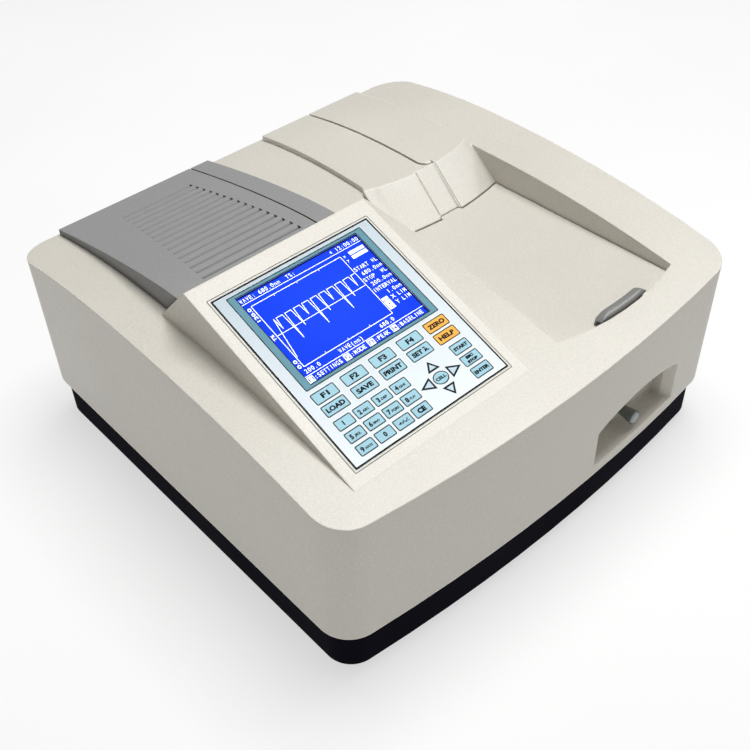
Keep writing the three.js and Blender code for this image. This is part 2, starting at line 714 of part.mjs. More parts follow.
function compartmentTub() {
  const { x0, x1, y0, y1, z0, z1, t } = TUB;
  const shell = cut(block(x0, x1, y0, y1, z0, z1), block(x0 + t, x1 - t, y0 + t, y1 - t, z0 + t, z1 + 1));
  const railHole = (side) => bar('y', railPlace(side), RAIL_R + GAP, y0 - 1, y1 + 1);
  const holes = [
    bar('x', [0, BEAM_Y, BEAM_Z], 8, x0 - 1, x1 + 1),
    bar('y', [CHANGER_X, 0, PULL_Z], 6 + GAP, y0 - 1, y0 + t + 1),
    railHole(-1),
    railHole(1),
  ];
  return cut(shell, ...holes);
}

const beamWindow = (x0) => bar('x', [0, BEAM_Y, BEAM_Z], 11, x0, x0 + 2, 24);

const railPlace = (side) => [CHANGER_X + side * RAIL_OFFSET, 0, RAIL_Z];

const carriageRail = (side) => bar('y', railPlace(side), RAIL_R, TUB.y0 + 0.5, TUB.y1 - 0.5, 16);

const cellY = (i) => BEAM_Y + i * CELL_PITCH;

function cellCarriage() {
  const y0 = BEAM_Y - 9.5;
  const y1 = cellY(CELLS - 1) + 9.5;
  const foot = block(CHANGER_X - 30, CHANGER_X + 30, y0, y1, RAIL_Z - 5.5, 64);
  const body = block(CHANGER_X - BLOCK_HALF_W, CHANGER_X + BLOCK_HALF_W, y0, y1, 63, BLOCK_TOP_Z);
  const half = CELL_SLOT / 2;
  const cuts = [];
  for (let i = 0; i < CELLS; i += 1) {
    const y = cellY(i);
    cuts.push(block(CHANGER_X - half, CHANGER_X + half, y - half, y + half, CELL_FLOOR_Z, 120));
    cuts.push(bar('x', [0, y, BEAM_Z], 4.5, 60, 140, 16));
  }
  for (const side of [-1, 1]) {
    cuts.push(bar('y', railPlace(side), RAIL_R + GAP, -200, 20, 16));
  }
  cuts.push(bar('y', [CHANGER_X, 0, PULL_Z], PULL_R + GAP, -200, y0 + 3.5, 16));
  return cut(join(foot, body), ...cuts);
}

const pullRod = () => bar('y', [CHANGER_X, 0, PULL_Z], PULL_R, KNOB_BACK_Y - 6, BEAM_Y - 9.5 + 3, 16);

// Turned about the pull rod's axis, with its wide end to the front.
function alongPull(geometry) {
  return geometry.rotateX(Math.PI / 2).translate(CHANGER_X, 0, PULL_Z);
}

function pullKnob() {
  const length = KNOB_BACK_Y - KNOB_FRONT_Y;
  const outline = [[0, 0], [4.2, 0], [4.2, 1], [4.6, 6], [6.4, length - 1.5], [6.9, length - 0.6],
    [6.9, length], [6, length], [6, length - 1.2], [0, length - 1.2]];
  const body = solid(alongPull(turned(outline)).translate(0, KNOB_BACK_Y, 0));
  return cut(body, bar('y', [CHANGER_X, 0, PULL_Z], PULL_R + GAP, KNOB_BACK_Y - 6.5, KNOB_BACK_Y + 1, 16));
}

function knobCap() {
  const outline = [[0, 0], [5.6, 0], [5.6, 0.9], [4.8, 1.5], [0, 1.9]];
  return alongPull(turned(outline)).translate(0, KNOB_FRONT_Y + 0.9, 0);
}

function rodBush() {
  const y = TUB.y0;
  const body = join(
    bar('y', [CHANGER_X, 0, PULL_Z], 6, y - 1, y + TUB.t + 1.5),
    bar('y', [CHANGER_X, 0, PULL_Z], 9, y - 2.8, y - GAP),
  );
  return cut(body, bar('y', [CHANGER_X, 0, PULL_Z], PULL_R + 0.2, y - 5, y + 8, 16));
}

// ---- display and keypad, on the tilted face

const faceGroup = new THREE.Group();
faceGroup.applyMatrix4(faceMatrix);
instrument.add(faceGroup);

function keypadOverlay() {
  const w = DISPLAY_W / 2 + 0.6;
  const h = DISPLAY_H / 2 + 0.6;
  const z0 = GAP - OVERLAY_SEAT;
  return cut(
    block(-OVERLAY_HALF_W, OVERLAY_HALF_W, OVERLAY_BOTTOM, OVERLAY_TOP, z0, z0 + OVERLAY_T),
    block(-w, w, -h, h, -5, 5),
  );
}

const displayGlass = () => block(-DISPLAY_W / 2 - DISPLAY_BORDER, DISPLAY_W / 2 + DISPLAY_BORDER,
  -DISPLAY_H / 2 - DISPLAY_BORDER, DISPLAY_H / 2 + DISPLAY_BORDER, -3.2, -1.2);

const displayModule = () => block(-80, 80, -54, 56, -13.5, -4.3);

const controllerBoard = () => join(
  block(-78, 78, -104, 50, -19, -17.4),
  block(-20, 20, -20, 20, -17.5, -15),
  block(30, 60, -80, -60, -17.5, -9),
);

// Flat lead from the keypad's film through the slot to the controller board.
function keypadTail() {
  const inner = [[-103, -16.1], [-107.7, -16.1], [-107.7, -1.2]];
  const outer = [[-108.2, -1.2], [-108.2, -16.6], [-103, -16.6]];
  return profileX([...inner, ...outer], -11, 11);
}

// ---- optics

function opticalBench() {
  const plan = [[-180, -178], [204, -178], [204, 8], [BENCH_RIGHT, 8], [BENCH_RIGHT, 186], [-180, 186]];
  return cut(
    slab(plan, BENCH_Z0, BENCH_Z1),
    block(-172, -122, -130, 130, 0, 60),
    bar('z', [GRATING_X, GRATING_Y, 0], SHAFT_R + GAP, 0, 60, 16),
    bar('z', [MOTOR_X, MOTOR_Y, 0], SHAFT_R + GAP, 0, 60, 16),
  );
}

function monochromatorCase() {
  const { x0, x1, y0, y1, z1, t } = MONO;
  const z0 = BENCH_Z1 + GAP;
  return cut(
    block(x0, x1, y0, y1, z0, z1),
    block(x0 + t, x1 - t, y0 + t, y1 - t, z0 + t, z1 + 1),
    bar('x', [0, BEAM_Y, BEAM_Z], 5, x1 - t - 1, x1 + 1, 16),
    bar('y', [LAMP_X, 0, BEAM_Z], 5, y1 - t - 1, y1 + 1, 16),
    bar('z', [GRATING_X, GRATING_Y, 0], SHAFT_R + GAP, 0, z0 + t + 1, 16),
    bar('z', [MOTOR_X, MOTOR_Y, 0], SHAFT_R + GAP, 0, z0 + t + 1, 16),
  );
}

const monochromatorCover = () => block(MONO.x0, MONO.x1, MONO.y0, MONO.y1, MONO.z1 + GAP, MONO.z1 + 2.3);

const SLIT = { half: 12, t: 1.5, w: 0.5, h: 5 };

// The lowest and highest of a range about its middle.
const around = (middle, half) => [middle - half, middle + half];

function exitSlit() {
  const x = MONO.x1 - MONO.t - GAP - SLIT.t;
  const plate = block(x, x + SLIT.t, ...around(BEAM_Y, SLIT.half), ...around(BEAM_Z, SLIT.half));
  return cut(plate, block(x - 1, x + 3, ...around(BEAM_Y, SLIT.w), ...around(BEAM_Z, SLIT.h)));
}

function entranceSlit() {
  const y = MONO.y1 - MONO.t - GAP - SLIT.t;
  const plate = block(...around(LAMP_X, SLIT.half), y, y + SLIT.t, ...around(BEAM_Z, SLIT.half));
  return cut(plate, block(...around(LAMP_X, SLIT.w), y - 1, y + 3, ...around(BEAM_Z, SLIT.h)));
}

// A round concave mirror on an upright holder, facing along its own +Y.
function addMirror(name, x, y, turn) {
  const holder = block(-14, 14, -9, -2, MONO_FLOOR + GAP, BEAM_Z + 13);
  const glass = bar('y', [0, 0, BEAM_Z], 12, -2.5, 2, 24);
  const bowl = solid(new THREE.SphereGeometry(60, 36, 24).translate(0, 60.6, BEAM_Z));
  const mesh = add(name, cut(join(holder, glass), bowl), mirrorGlass());
  mesh.position.set(x, y, 0);
  mesh.rotation.z = THREE.MathUtils.degToRad(turn);
}

function addGrating() {
  const pivot = new THREE.Group();
  pivot.position.set(GRATING_X, GRATING_Y, 0);
  instrument.add(pivot);
  const table = join(
    bar('z', [0, 0, 0], 19, 52, 57, 28),
    bar('z', [0, 0, 0], SHAFT_R, 27, 53, 16),
    bar('z', [0, 0, 0], WHEEL_PULLEY_R, 22, 28, 36),
  );
  add('grating_turntable', table, castAlloy(), pivot);
  const plate = block(-16, 16, -4, 3, 57 + GAP, 57 + GAP + 32);
  add('diffraction_grating', plate, mirrorGlass(), pivot).rotation.z = THREE.MathUtils.degToRad(10);
}

function addGratingDrive() {
  const body = block(MOTOR_X - 17, MOTOR_X + 17, MOTOR_Y - 17, MOTOR_Y + 17, MONO_FLOOR + GAP, 74);
  const cap = bar('z', [MOTOR_X, MOTOR_Y, 0], 9, 73, 75.5, 20);
  add('grating_motor', join(body, cap), finish(0x3a3b3e, 0.45, 0.6));
  const pulley = join(
    bar('z', [MOTOR_X, MOTOR_Y, 0], MOTOR_PULLEY_R, 22, 28, 20),
    bar('z', [MOTOR_X, MOTOR_Y, 0], SHAFT_R, 27, MONO_FLOOR, 12),
  );
  add('motor_pulley', pulley, steel());
}

// Outline of the belt round both pulleys, at a distance from their rims.
function beltLoop(clear) {
  const dx = GRATING_X - MOTOR_X;
  const dy = GRATING_Y - MOTOR_Y;
  const along = Math.atan2(dy, dx);
  const spread = Math.acos((WHEEL_PULLEY_R - MOTOR_PULLEY_R) / Math.hypot(dx, dy));
  const loop = new THREE.Shape();
  const [rise, fall] = [along + Math.PI - spread, along + Math.PI + spread];
  loop.absarc(GRATING_X, GRATING_Y, WHEEL_PULLEY_R + clear, fall - 2 * Math.PI, rise, false);
  loop.absarc(MOTOR_X, MOTOR_Y, MOTOR_PULLEY_R + clear, rise, fall, false);
  return loop;
}

const driveBelt = () => cut(slab(beltLoop(GAP + 1.2), 22.5, 27.5, 14), slab(beltLoop(GAP), 22, 28, 14));

// ---- light source

function lampHousing() {
  const { x0, x1, y0, y1, z1, t } = LAMP;
  const z0 = BENCH_Z1 + GAP;
  const slots = [-90, -60, -30, 0, 30].map((x) => block(x - 9, x + 9, y1 - t - 1, y1 + 1, 60, 110));
  return cut(
    block(x0, x1, y0, y1, z0, z1),
    block(x0 + t, x1 - t, y0 + t, y1 - t, z0 + t, z1 + 1),
    bar('y', [LAMP_X, 0, BEAM_Z], 7, y0 - 1, y0 + t + 1, 16),
    ...slots,
  );
}

function deuteriumLamp() {
  const z0 = BENCH_Z1 + GAP + LAMP.t + GAP;
  const foot = [[0, 0], [21, 0], [21, 5], [13, 5], [13, 12]];
  const bulb = [[14, 14], [14, 62], [9, 71], [3, 75], [0, 75.5]];
  return turned([...foot, ...bulb], 24).translate(D2_X, LAMP_Y, z0);
}

function halogenLamp() {
  const z0 = BENCH_Z1 + GAP + LAMP.t + GAP;
  const outline = [[0, 0], [11, 0], [11, 26], [5, 26], [5, 30], [5.6, 32], [5.6, 44], [3, 49], [0, 50]];
  return turned(outline, 20).translate(HALOGEN_X, LAMP_Y, z0);
}

function addSourceMirror() {
  const z0 = BENCH_Z1 + GAP + LAMP.t + GAP;
  const body = join(
    bar('z', [0, 0, 0], 6, z0, z0 + 8, 20),
    bar('z', [0, 0, 0], 2.5, z0 + 7, BEAM_Z - 12, 12),
    block(-11, 11, -1.5, 1.5, BEAM_Z - 13, BEAM_Z + 13),
  );
  const mesh = add('source_mirror', body, mirrorGlass());
  mesh.position.set(LAMP_X, LAMP_Y, 0);
  mesh.rotation.z = -Math.PI / 4;
}

// Round wheel of order-sorting filters between the lamp housing and the entrance slit.
function filterWheel() {
  const [cx, cz] = [LAMP_X - FILTER_R, BEAM_Z];
  const holes = Array.from({ length: 6 }, (_, i) => (i * Math.PI) / 3)
    .map((a) => bar('y', [cx + FILTER_R * Math.cos(a), 0, cz + FILTER_R * Math.sin(a)], 5, 40, 70, 14));
  return cut(bar('y', [cx, 0, cz], FILTER_R + 8, 50, 53, 36), ...holes);
}

const filterMotor = () => join(
  bar('y', [LAMP_X - FILTER_R, 0, BEAM_Z], 10, 57, LAMP.y0 - GAP, 24),
  bar('y', [LAMP_X - FILTER_R, 0, BEAM_Z], 2, 53 + GAP, 58, 12),
);

// ---- detector

function detectorHousing() {
  const [x0, x1] = [162, 200];
  const z0 = BENCH_Z1 + GAP;
  return cut(
    block(x0, x1, BEAM_Y - 26, BEAM_Y + 26, z0, 114),
    block(x0 + 3, x1 + 1, BEAM_Y - 23, BEAM_Y + 23, z0 + 3, 111),
    bar('x', [0, BEAM_Y, BEAM_Z], 6, x0 - 1, x0 + 4, 16),
  );
}

const detectorBoard = () => join(
  block(193, 194.6, BEAM_Y - 22, BEAM_Y + 22, 48, 110),
  bar('x', [0, BEAM_Y, BEAM_Z], 6, 186, 193.5, 20),
);

// ---- power and rear panel

function powerSupply() {
  const vents = [50, 70, 90, 110, 130, 150, 170].map((y) => block(90, 174, y - 3, y + 3, 77, 90));
  return cut(block(76, 188, 30, 186, 14 + GAP, 78), ...vents);
}

function rearPanel() {
  const { x, z } = FAN;
  const fanSlots = [-30, -20, -10, 0, 10, 20, 30].map((dz) => {
    const half = Math.sqrt(36 ** 2 - dz ** 2);
    return block(x - half, x + half, 200, 220, z + dz - 3, z + dz + 3);
  });
  const cuts = [
    block(INLET.x - 14.2, INLET.x + 14.2, 200, 220, INLET.z - 10.4, INLET.z + 10.4),
    block(SWITCH.x - 10, SWITCH.x + 10, 200, 220, SWITCH.z - 13.8, SWITCH.z + 13.8),
    bar('y', [FUSE.x, 0, FUSE.z], 6.4, 200, 220),
    block(SERIAL.x - 10, SERIAL.x + 10, 200, 220, SERIAL.z - 5.6, SERIAL.z + 5.6),
    ...COVER_SCREW_X.map((sx) => bar('y', [sx, 0, COVER_SCREW_Z], 2 + GAP, 200, 220, 12)),
  ];
  const plate = block(-193, 193, PANEL_Y0, PANEL_RIM_Y1, HOUSING_Z0 + GAP, 158);
  const dish = block(-177, 177, PANEL_Y1, 220, 0, 151);
  return cut(plate, dish, ...fanSlots, ...cuts);
}

// Three-pole inlet for a detachable mains lead.
function mainsInlet() {
  const { x, z } = INLET;
  const y0 = PANEL_Y1 + GAP;
  const shell = cut(
    join(
      block(x - 25, x + 25, y0, y0 + 2.5, z - 11.5, z + 11.5),
      block(x - 13.9, x + 13.9, y0 - 20, y0 + 1, z - 10.1, z + 10.1),
    ),
    block(x - 12.1, x + 12.1, y0 - 15, y0 + 3, z - 8.1, z + 8.1),
  );
  const pins = [[-7, -1.5], [0, 3.5], [7, -1.5]]
    .map(([dx, dz]) => block(x + dx - 1, x + dx + 1, y0 - 16, y0 - 2, z + dz - 2, z + dz + 2));
  return join(shell, ...pins);
}

function switchFrame() {
  const { x, z } = SWITCH;
  const y0 = PANEL_Y1 + GAP;
  return cut(
    join(
      block(x - 12, x + 12, y0, y0 + 1.8, z - 15.5, z + 15.5),
      block(x - 9.7, x + 9.7, y0 - 20, y0 + 1, z - 13.5, z + 13.5),
    ),
    block(x - 7.2, x + 7.2, y0 - 16, y0 + 3, z - 12, z + 12),
  );
}

function addRocker() {
  const outline = [[-5, -7], [2, -10.4], [7.6, -10.4], [5.4, 0], [7.6, 10.4], [2, 10.4], [-5, 7]];
  const mesh = add('power_rocker', profileX(outline, -6.7, 6.7), black());
  mesh.position.set(SWITCH.x, ROCKER_Y, SWITCH.z);
  mesh.rotation.x = THREE.MathUtils.degToRad(ROCKER_TILT);
}

function fuseCap() {
  const y0 = PANEL_Y1 + GAP;
  return cut(
    join(
      bar('y', [FUSE.x, 0, FUSE.z], 7.5, y0, y0 + 4.5, 24),
      bar('y', [FUSE.x, 0, FUSE.z], 6, y0 - 28, y0 + 1, 20),
    ),
    block(FUSE.x - 5, FUSE.x + 5, y0 + 3.4, y0 + 6, FUSE.z - 0.8, FUSE.z + 0.8),
  );
}

function serialPort() {
  const { x, z } = SERIAL;
  const y0 = PANEL_Y1 + GAP;
  const posts = [-12.5, 12.5].map((dx) => bar('y', [x + dx, 0, z], 2.4, y0, y0 + 5.5, 6));
  return join(
    block(x - 15.5, x + 15.5, y0, y0 + 1, z - 6.3, z + 6.3),
    profileY([[x - 8.2, z + 4.2], [x - 7, z - 4.2], [x + 7, z - 4.2], [x + 8.2, z + 4.2]], y0 - 10, y0 + 5.5),
    ...posts,
  );
}

function fanFrame() {
  const { x, z, size, depth } = FAN;
  const y1 = PANEL_Y0 - GAP;
  const half = size / 2;
  const strut = (angle) => solid(new THREE.BoxGeometry(half, 3, 4).translate(half / 2, 0, 0)
    .rotateY(angle).translate(x, y1 - depth + 1.5, z));
  return join(
    cut(block(x - half, x + half, y1 - depth, y1, z - half, z + half), bar('y', [x, 0, z], 38, 0, 300, 40)),
    strut(0.3),
    strut(0.3 + (2 * Math.PI) / 3),
    strut(0.3 + (4 * Math.PI) / 3),
    bar('y', [x, 0, z], 15, y1 - depth, y1 - depth + 3, 24),
  );
}

function fanRotor() {
  const { x, z, depth } = FAN;
  const y0 = PANEL_Y0 - GAP - depth + 3.5;
  const blade = (i) => solid(new THREE.BoxGeometry(22, 1.6, 18).rotateX(0.75).translate(25, 0, 0)
    .rotateY((i * 2 * Math.PI) / 7).translate(x, y0 + 9, z));
  return join(bar('y', [x, 0, z], 16, y0, y0 + 18, 28), ...Array.from({ length: 7 }, (_, i) => blade(i)));
}

function coverScrew(x) {
  const shank = bar('y', [x, 0, COVER_SCREW_Z], 2, 200, DEPTH / 2 - 1, 12);
  const head = bar('y', [x, 0, COVER_SCREW_Z], 4, DEPTH / 2 - 2 + GAP, DEPTH / 2 - 0.3, 16);
  const [y0, z] = [DEPTH / 2 - 1.2, COVER_SCREW_Z];
  const cross = join(block(x - 2.2, x + 2.2, y0, y0 + 3, z - 0.4, z + 0.4),
    block(x - 0.4, x + 0.4, y0, y0 + 3, z - 2.2, z + 2.2));
  return cut(join(shank, head), cross);
}

// Bundle of wires from the power supply, round the optics, to the controller board.
function mainHarness() {
  const route = [[72, 60, 44], [71, 57, 30], [66, 50, 18], [50, 40, 15], [-60, 40, 15], [-140, 40, 18],
    [-150, 20, 60], [-150, -10, 130], [-150, -30.8, 190], [-150, -36, 205]];
  const path = new THREE.CatmullRomCurve3(route.map((p) => new THREE.Vector3(...p)));
  const section = new THREE.Shape();
  section.absarc(0, 0, 2.5, 0, 2 * Math.PI, false);
  const wires = solid(new THREE.ExtrudeGeometry(section, { extrudePath: path, steps: 48, curveSegments: 4 }));
  const supplyPlug = block(68.5, 75.7, 52, 68, 42, 52);
  const boardPlug = faceBlock(-61, -46, 14, 26, -26, GAP - 19.6);
  return join(wires, supplyPlug, boardPlug);
}

// ----------------------------------------------------------------- the pieces

add('base_tray', baseTray(), black());
add('upper_housing', upperHousing(), cream());
add('spine_cover', spineCover(), cream());
add('vent_cover', ventCover(), ventGrey());
add('vent_edge_strip', ventShell(VENT.seam + VENT_SEAM / 2, VENT.x1), ventGrey());
add('sample_lid', sampleLid(), cream());
add('lid_handle', lidHandle(), finish(0x8d9398, 0.4));
add('hinge_pin_left', hingePin(-1), steel());
add('hinge_pin_right', hingePin(1), steel());
addFeet();

add('compartment_tub', compartmentTub(), black());
add('source_window', beamWindow(TUB.x0 - GAP - 2), clearGlass());
add('detector_window', beamWindow(TUB.x1 + GAP), clearGlass());
add('carriage_rail_left', carriageRail(-1), steel());
add('carriage_rail_right', carriageRail(1), steel());
add('cell_carriage', cellCarriage(), finish(0x26272b, 0.5, 0.3));
add('pull_rod', pullRod(), steel());
add('pull_knob', pullKnob(), finish(0x4c524e, 0.5));
add('knob_cap', knobCap(), finish(0xaab2b8, 0.3));
add('rod_bush', rodBush(), finish(0xb08d4a, 0.4, 0.8));

add('keypad_overlay', keypadOverlay(), finish(0xdcecf4, 0.35), faceGroup);
add('display_glass', displayGlass(), finish(0x1c46f0, 0.15), faceGroup);
add('display_module', displayModule(), steel(), faceGroup);
add('controller_board', controllerBoard(), boardGreen(), faceGroup);
add('keypad_tail', keypadTail(), finish(0xc07a2c, 0.4), faceGroup);

add('optical_bench', opticalBench(), castAlloy());
add('monochromator_case', monochromatorCase(), black());
add('monochromator_cover', monochromatorCover(), black());
add('entrance_slit', entranceSlit(), black());
add('exit_slit', exitSlit(), black());
addMirror('collimating_mirror', LAMP_X, -128, 18);
addMirror('focusing_mirror', -90, -110, -48.5);
addGrating();
addGratingDrive();
add('drive_belt', driveBelt(), rubber());

add('lamp_housing', lampHousing(), castAlloy());
add('deuterium_lamp', deuteriumLamp(), clearGlass());
add('halogen_lamp', halogenLamp(), clearGlass());
addSourceMirror();
add('filter_wheel', filterWheel(), castAlloy());
add('filter_motor', filterMotor(), black());
add('detector_housing', detectorHousing(), black());
add('detector_board', detectorBoard(), boardGreen());

add('power_supply', powerSupply(), castAlloy());
add('main_harness', mainHarness(), black());
add('rear_panel', rearPanel(), finish(0xc9c6bc, 0.5, 0.2));
add('mains_inlet', mainsInlet(), black());
add('power_switch_frame', switchFrame(), black());
addRocker();
add('fuse_cap', fuseCap(), black());
add('serial_port', serialPort(), steel());
add('fan_frame', fanFrame(), black());
add('fan_rotor', fanRotor(), black());
add('cover_screw_left', coverScrew(COVER_SCREW_X[0]), steel());
add('cover_screw_right', coverScrew(COVER_SCREW_X[1]), steel());

export default instrument;
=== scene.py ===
import json
import math

import bmesh
import bpy
from mathutils import Matrix, Vector


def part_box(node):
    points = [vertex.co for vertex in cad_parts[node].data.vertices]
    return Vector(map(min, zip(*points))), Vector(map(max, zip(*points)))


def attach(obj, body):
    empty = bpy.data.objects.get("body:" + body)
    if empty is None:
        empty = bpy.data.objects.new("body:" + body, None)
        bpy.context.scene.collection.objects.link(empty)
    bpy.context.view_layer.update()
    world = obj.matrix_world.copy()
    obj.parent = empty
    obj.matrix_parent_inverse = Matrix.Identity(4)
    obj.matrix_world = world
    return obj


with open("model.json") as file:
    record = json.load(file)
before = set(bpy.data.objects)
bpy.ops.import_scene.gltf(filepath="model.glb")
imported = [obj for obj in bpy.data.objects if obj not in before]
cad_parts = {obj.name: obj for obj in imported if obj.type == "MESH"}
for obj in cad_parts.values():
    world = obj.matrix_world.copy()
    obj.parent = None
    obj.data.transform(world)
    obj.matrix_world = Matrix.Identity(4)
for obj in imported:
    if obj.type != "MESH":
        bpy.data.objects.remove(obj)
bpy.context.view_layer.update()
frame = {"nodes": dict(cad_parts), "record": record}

nodes = frame["nodes"]
MM = 0.001
ROOT = "instrument"

# ------------------------------------------------------------------ camera

CAMERA_AT = Vector((-0.4871, -0.5554, 0.7361))
CAMERA_TURN = math.radians(40.92)
CAMERA_DIP = math.radians(43.21)
CAMERA_ROLL = math.radians(-1.805)
LENS = 52.77


def make_camera():
    forward = Vector((math.sin(CAMERA_TURN) * math.cos(CAMERA_DIP),
                      math.cos(CAMERA_TURN) * math.cos(CAMERA_DIP),
                      -math.sin(CAMERA_DIP)))
    level = Vector((math.cos(CAMERA_TURN), -math.sin(CAMERA_TURN), 0.0))
    upright = level.cross(forward)
    right = math.cos(CAMERA_ROLL) * level + math.sin(CAMERA_ROLL) * upright
    up = math.cos(CAMERA_ROLL) * upright - math.sin(CAMERA_ROLL) * level
    data = bpy.data.cameras.new("camera")
    data.lens = LENS
    data.sensor_width = 36.0
    data.clip_start = 0.02
    camera = bpy.data.objects.new("camera", data)
    rotation = Matrix((right, up, -forward)).transposed().to_4x4()
    camera.matrix_world = Matrix.Translation(CAMERA_AT) @ rotation
    bpy.context.scene.collection.objects.link(camera)
    bpy.context.scene.camera = camera


make_camera()

# --------------------------------------------------------------- materials


def srgb(r, g, b):
    """A colour given as 0 to 255 screen values, as linear light with alpha."""
    def linear(v):
        v /= 255.0
        return v / 12.92 if v <= 0.04045 else ((v + 0.055) / 1.055) ** 2.4
    return (linear(r), linear(g), linear(b), 1.0)


EDGE_TURNED = 0.825  # cosine between a face and its rounded normal where an edge's paler colour, for wear and a painted highlight, is full
EDGE_FLAT = 0.98  # and where it ends


class Surface:
    """A material under construction, with short calls to add and join its nodes."""

    def __init__(self, name):
        self.material = bpy.data.materials.new(name)
        self.material.use_nodes = True
        self.tree = self.material.node_tree
        self.shader = self.tree.nodes["Principled BSDF"]

    def node(self, kind, **values):
        made = self.tree.nodes.new("ShaderNode" + kind)
        for key, value in values.items():
            if key in made.inputs:
                made.inputs[key].default_value = value
            else:
                setattr(made, key, value)
        return made

    def link(self, output, target):
        self.tree.links.new(output, target)

    def place(self, stretch=None):
        coordinate = self.node("TexCoord").outputs["Object"]
        if stretch is None:
            return coordinate
        mapping = self.node("Mapping")
        mapping.inputs["Scale"].default_value = stretch
        self.link(coordinate, mapping.inputs["Vector"])
        return mapping.outputs["Vector"]

    def noise(self, scale, detail=3.0, roughness=0.55, stretch=None):
        made = self.node("TexNoise", Scale=scale, Detail=detail, Roughness=roughness)
        self.link(self.place(stretch), made.inputs["Vector"])
        return made.outputs["Fac"]

    def span(self, value, low, high, start=0.3, end=0.7):
        made = self.node("MapRange")
        made.inputs["From Min"].default_value = start
        made.inputs["From Max"].default_value = end
        made.inputs["To Min"].default_value = low
        made.inputs["To Max"].default_value = high
        self.link(value, made.inputs["Value"])
        return made.outputs["Result"]

    def blend(self, factor, first, second):
        """Mixes two colours, or sockets carrying them, by a factor socket."""
        made = self.node("Mix", data_type="RGBA")
        self.link(factor, made.inputs["Factor"])
        for value, target in ((first, made.inputs[6]), (second, made.inputs[7])):
            if isinstance(value, tuple):
                target.default_value = value
            else:
                self.link(value, target)
        return made.outputs[2]

    def bump(self, height, strength, distance, after=None):
        made = self.node("Bump", Strength=strength, Distance=distance)
        self.link(height, made.inputs["Height"])
        if after is not None:
            self.link(after, made.inputs["Normal"])
        return made.outputs["Normal"]

    def rounding(self, radius):
        """Normals turned as on an edge rounded by the radius."""
        return self.node("Bevel", samples=6, Radius=radius).outputs["Normal"]

    def edges(self, rounded_normal):
        """1 on sharp outer and inner edges and 0 on flat faces."""
        geometry = self.node("NewGeometry")
        dot = self.node("VectorMath", operation="DOT_PRODUCT")
        self.link(rounded_normal, dot.inputs[0])
        self.link(geometry.outputs["True Normal"], dot.inputs[1])
        return self.span(dot.outputs["Value"], 1.0, 0.0, EDGE_TURNED, EDGE_FLAT)

    def groove_shade(self, distance):
        """Ambient occlusion for painted shade: falls from 1 on open faces towards 0 deep in grooves."""
        made = self.node("AmbientOcclusion", samples=8, Distance=distance)
        return made.outputs["AO"]

    def finish(self, color=None, roughness=None, normal=None, **values):
        sockets = self.shader.inputs
        for key, value in values.items():
            sockets[key.replace("_", " ")].default_value = value
        for value, target in ((color, sockets["Base Color"]), (roughness, sockets["Roughness"])):
            if value is None:
                continue
            if isinstance(value, (tuple, float)):
                target.default_value = value
            else:
                self.link(value, target)
        if normal is not None:
            self.link(normal, sockets["Normal"])
        return self.material


def shade(color, amount):
    return tuple(min(1.0, v * amount) for v in color[:3]) + (1.0,)


def grained_plastic(name, color, roughness, grain, wear_and_highlight, grain_scale=900.0, specular=0.4, groove_shade=1.0,
                    radius=0.001):
    """Moulded plastic with a spark-eroded grain, faint cloudiness and rounded edges painted paler, for wear
    and a painted highlight.

    Where the groove shade argument is below 1, grooves get a painted shade that darkens them towards that
    share of the colour.
    """
    s = Surface(name)
    cloud = s.noise(9.0, 4.0)
    speck = s.noise(grain_scale, 2.0, 0.6)
    fine = s.noise(grain_scale * 2.7, 1.0)
    base = s.blend(s.span(cloud, 0.0, 1.0), shade(color, 0.965), shade(color, 1.035))
    dots = s.blend(s.span(speck, 0.0, 1.0, 0.25, 0.75), shade(color, 0.8), shade(color, 1.18))
    mixed = s.node("Mix", data_type="RGBA")
    mixed.inputs["Factor"].default_value = 0.5
    s.link(base, mixed.inputs[6])
    s.link(dots, mixed.inputs[7])
    edge = s.rounding(radius)
    # paler edges: a painted highlight along the rounded edges, together with wear
    wear_and_highlight_color = s.blend(s.edges(edge), mixed.outputs[2], shade(color, wear_and_highlight))
    if groove_shade < 1.0:
        # painted shade in the grooves, from ambient occlusion
        groove_shade_mask = s.span(s.groove_shade(0.009), 1.0, 0.0, 0.35, 0.95)
        wear_and_highlight_color = s.blend(groove_shade_mask, wear_and_highlight_color, shade(color, groove_shade))
    coarse = s.bump(speck, grain, 0.00028, edge)
    normal = s.bump(fine, grain * 0.6, 0.00012, coarse)
    return s.finish(wear_and_highlight_color, s.span(cloud, roughness - 0.05, roughness + 0.07), normal,
                    Specular_IOR_Level=specular)


def metal(name, color, roughness=0.3, stretch=(1.0, 1.0, 40.0), grain=0.12, scale=220.0):
    """Bare metal with drawn or ground lines and uneven polish."""
    s = Surface(name)
    lines = s.noise(scale, 3.0, 0.6, stretch)
    cloud = s.noise(25.0, 3.0)
    base = s.blend(s.span(lines, 0.0, 1.0), shade(color, 0.86), shade(color, 1.08))
    polish = s.span(cloud, roughness - 0.06, roughness + 0.12)
    return s.finish(base, polish, s.bump(lines, grain, 0.0001), Metallic=1.0)


def cast(name, color, roughness=0.5):
    """Sand-cast alloy with a pitted skin."""
    s = Surface(name)
    pits = s.noise(420.0, 4.0, 0.65)
    cloud = s.noise(14.0, 4.0)
    base = s.blend(s.span(cloud, 0.0, 1.0), shade(color, 0.88), shade(color, 1.05))
    polish = s.span(pits, roughness - 0.08, roughness + 0.12)
    return s.finish(base, polish, s.bump(pits, 0.5, 0.0003), Metallic=0.85)


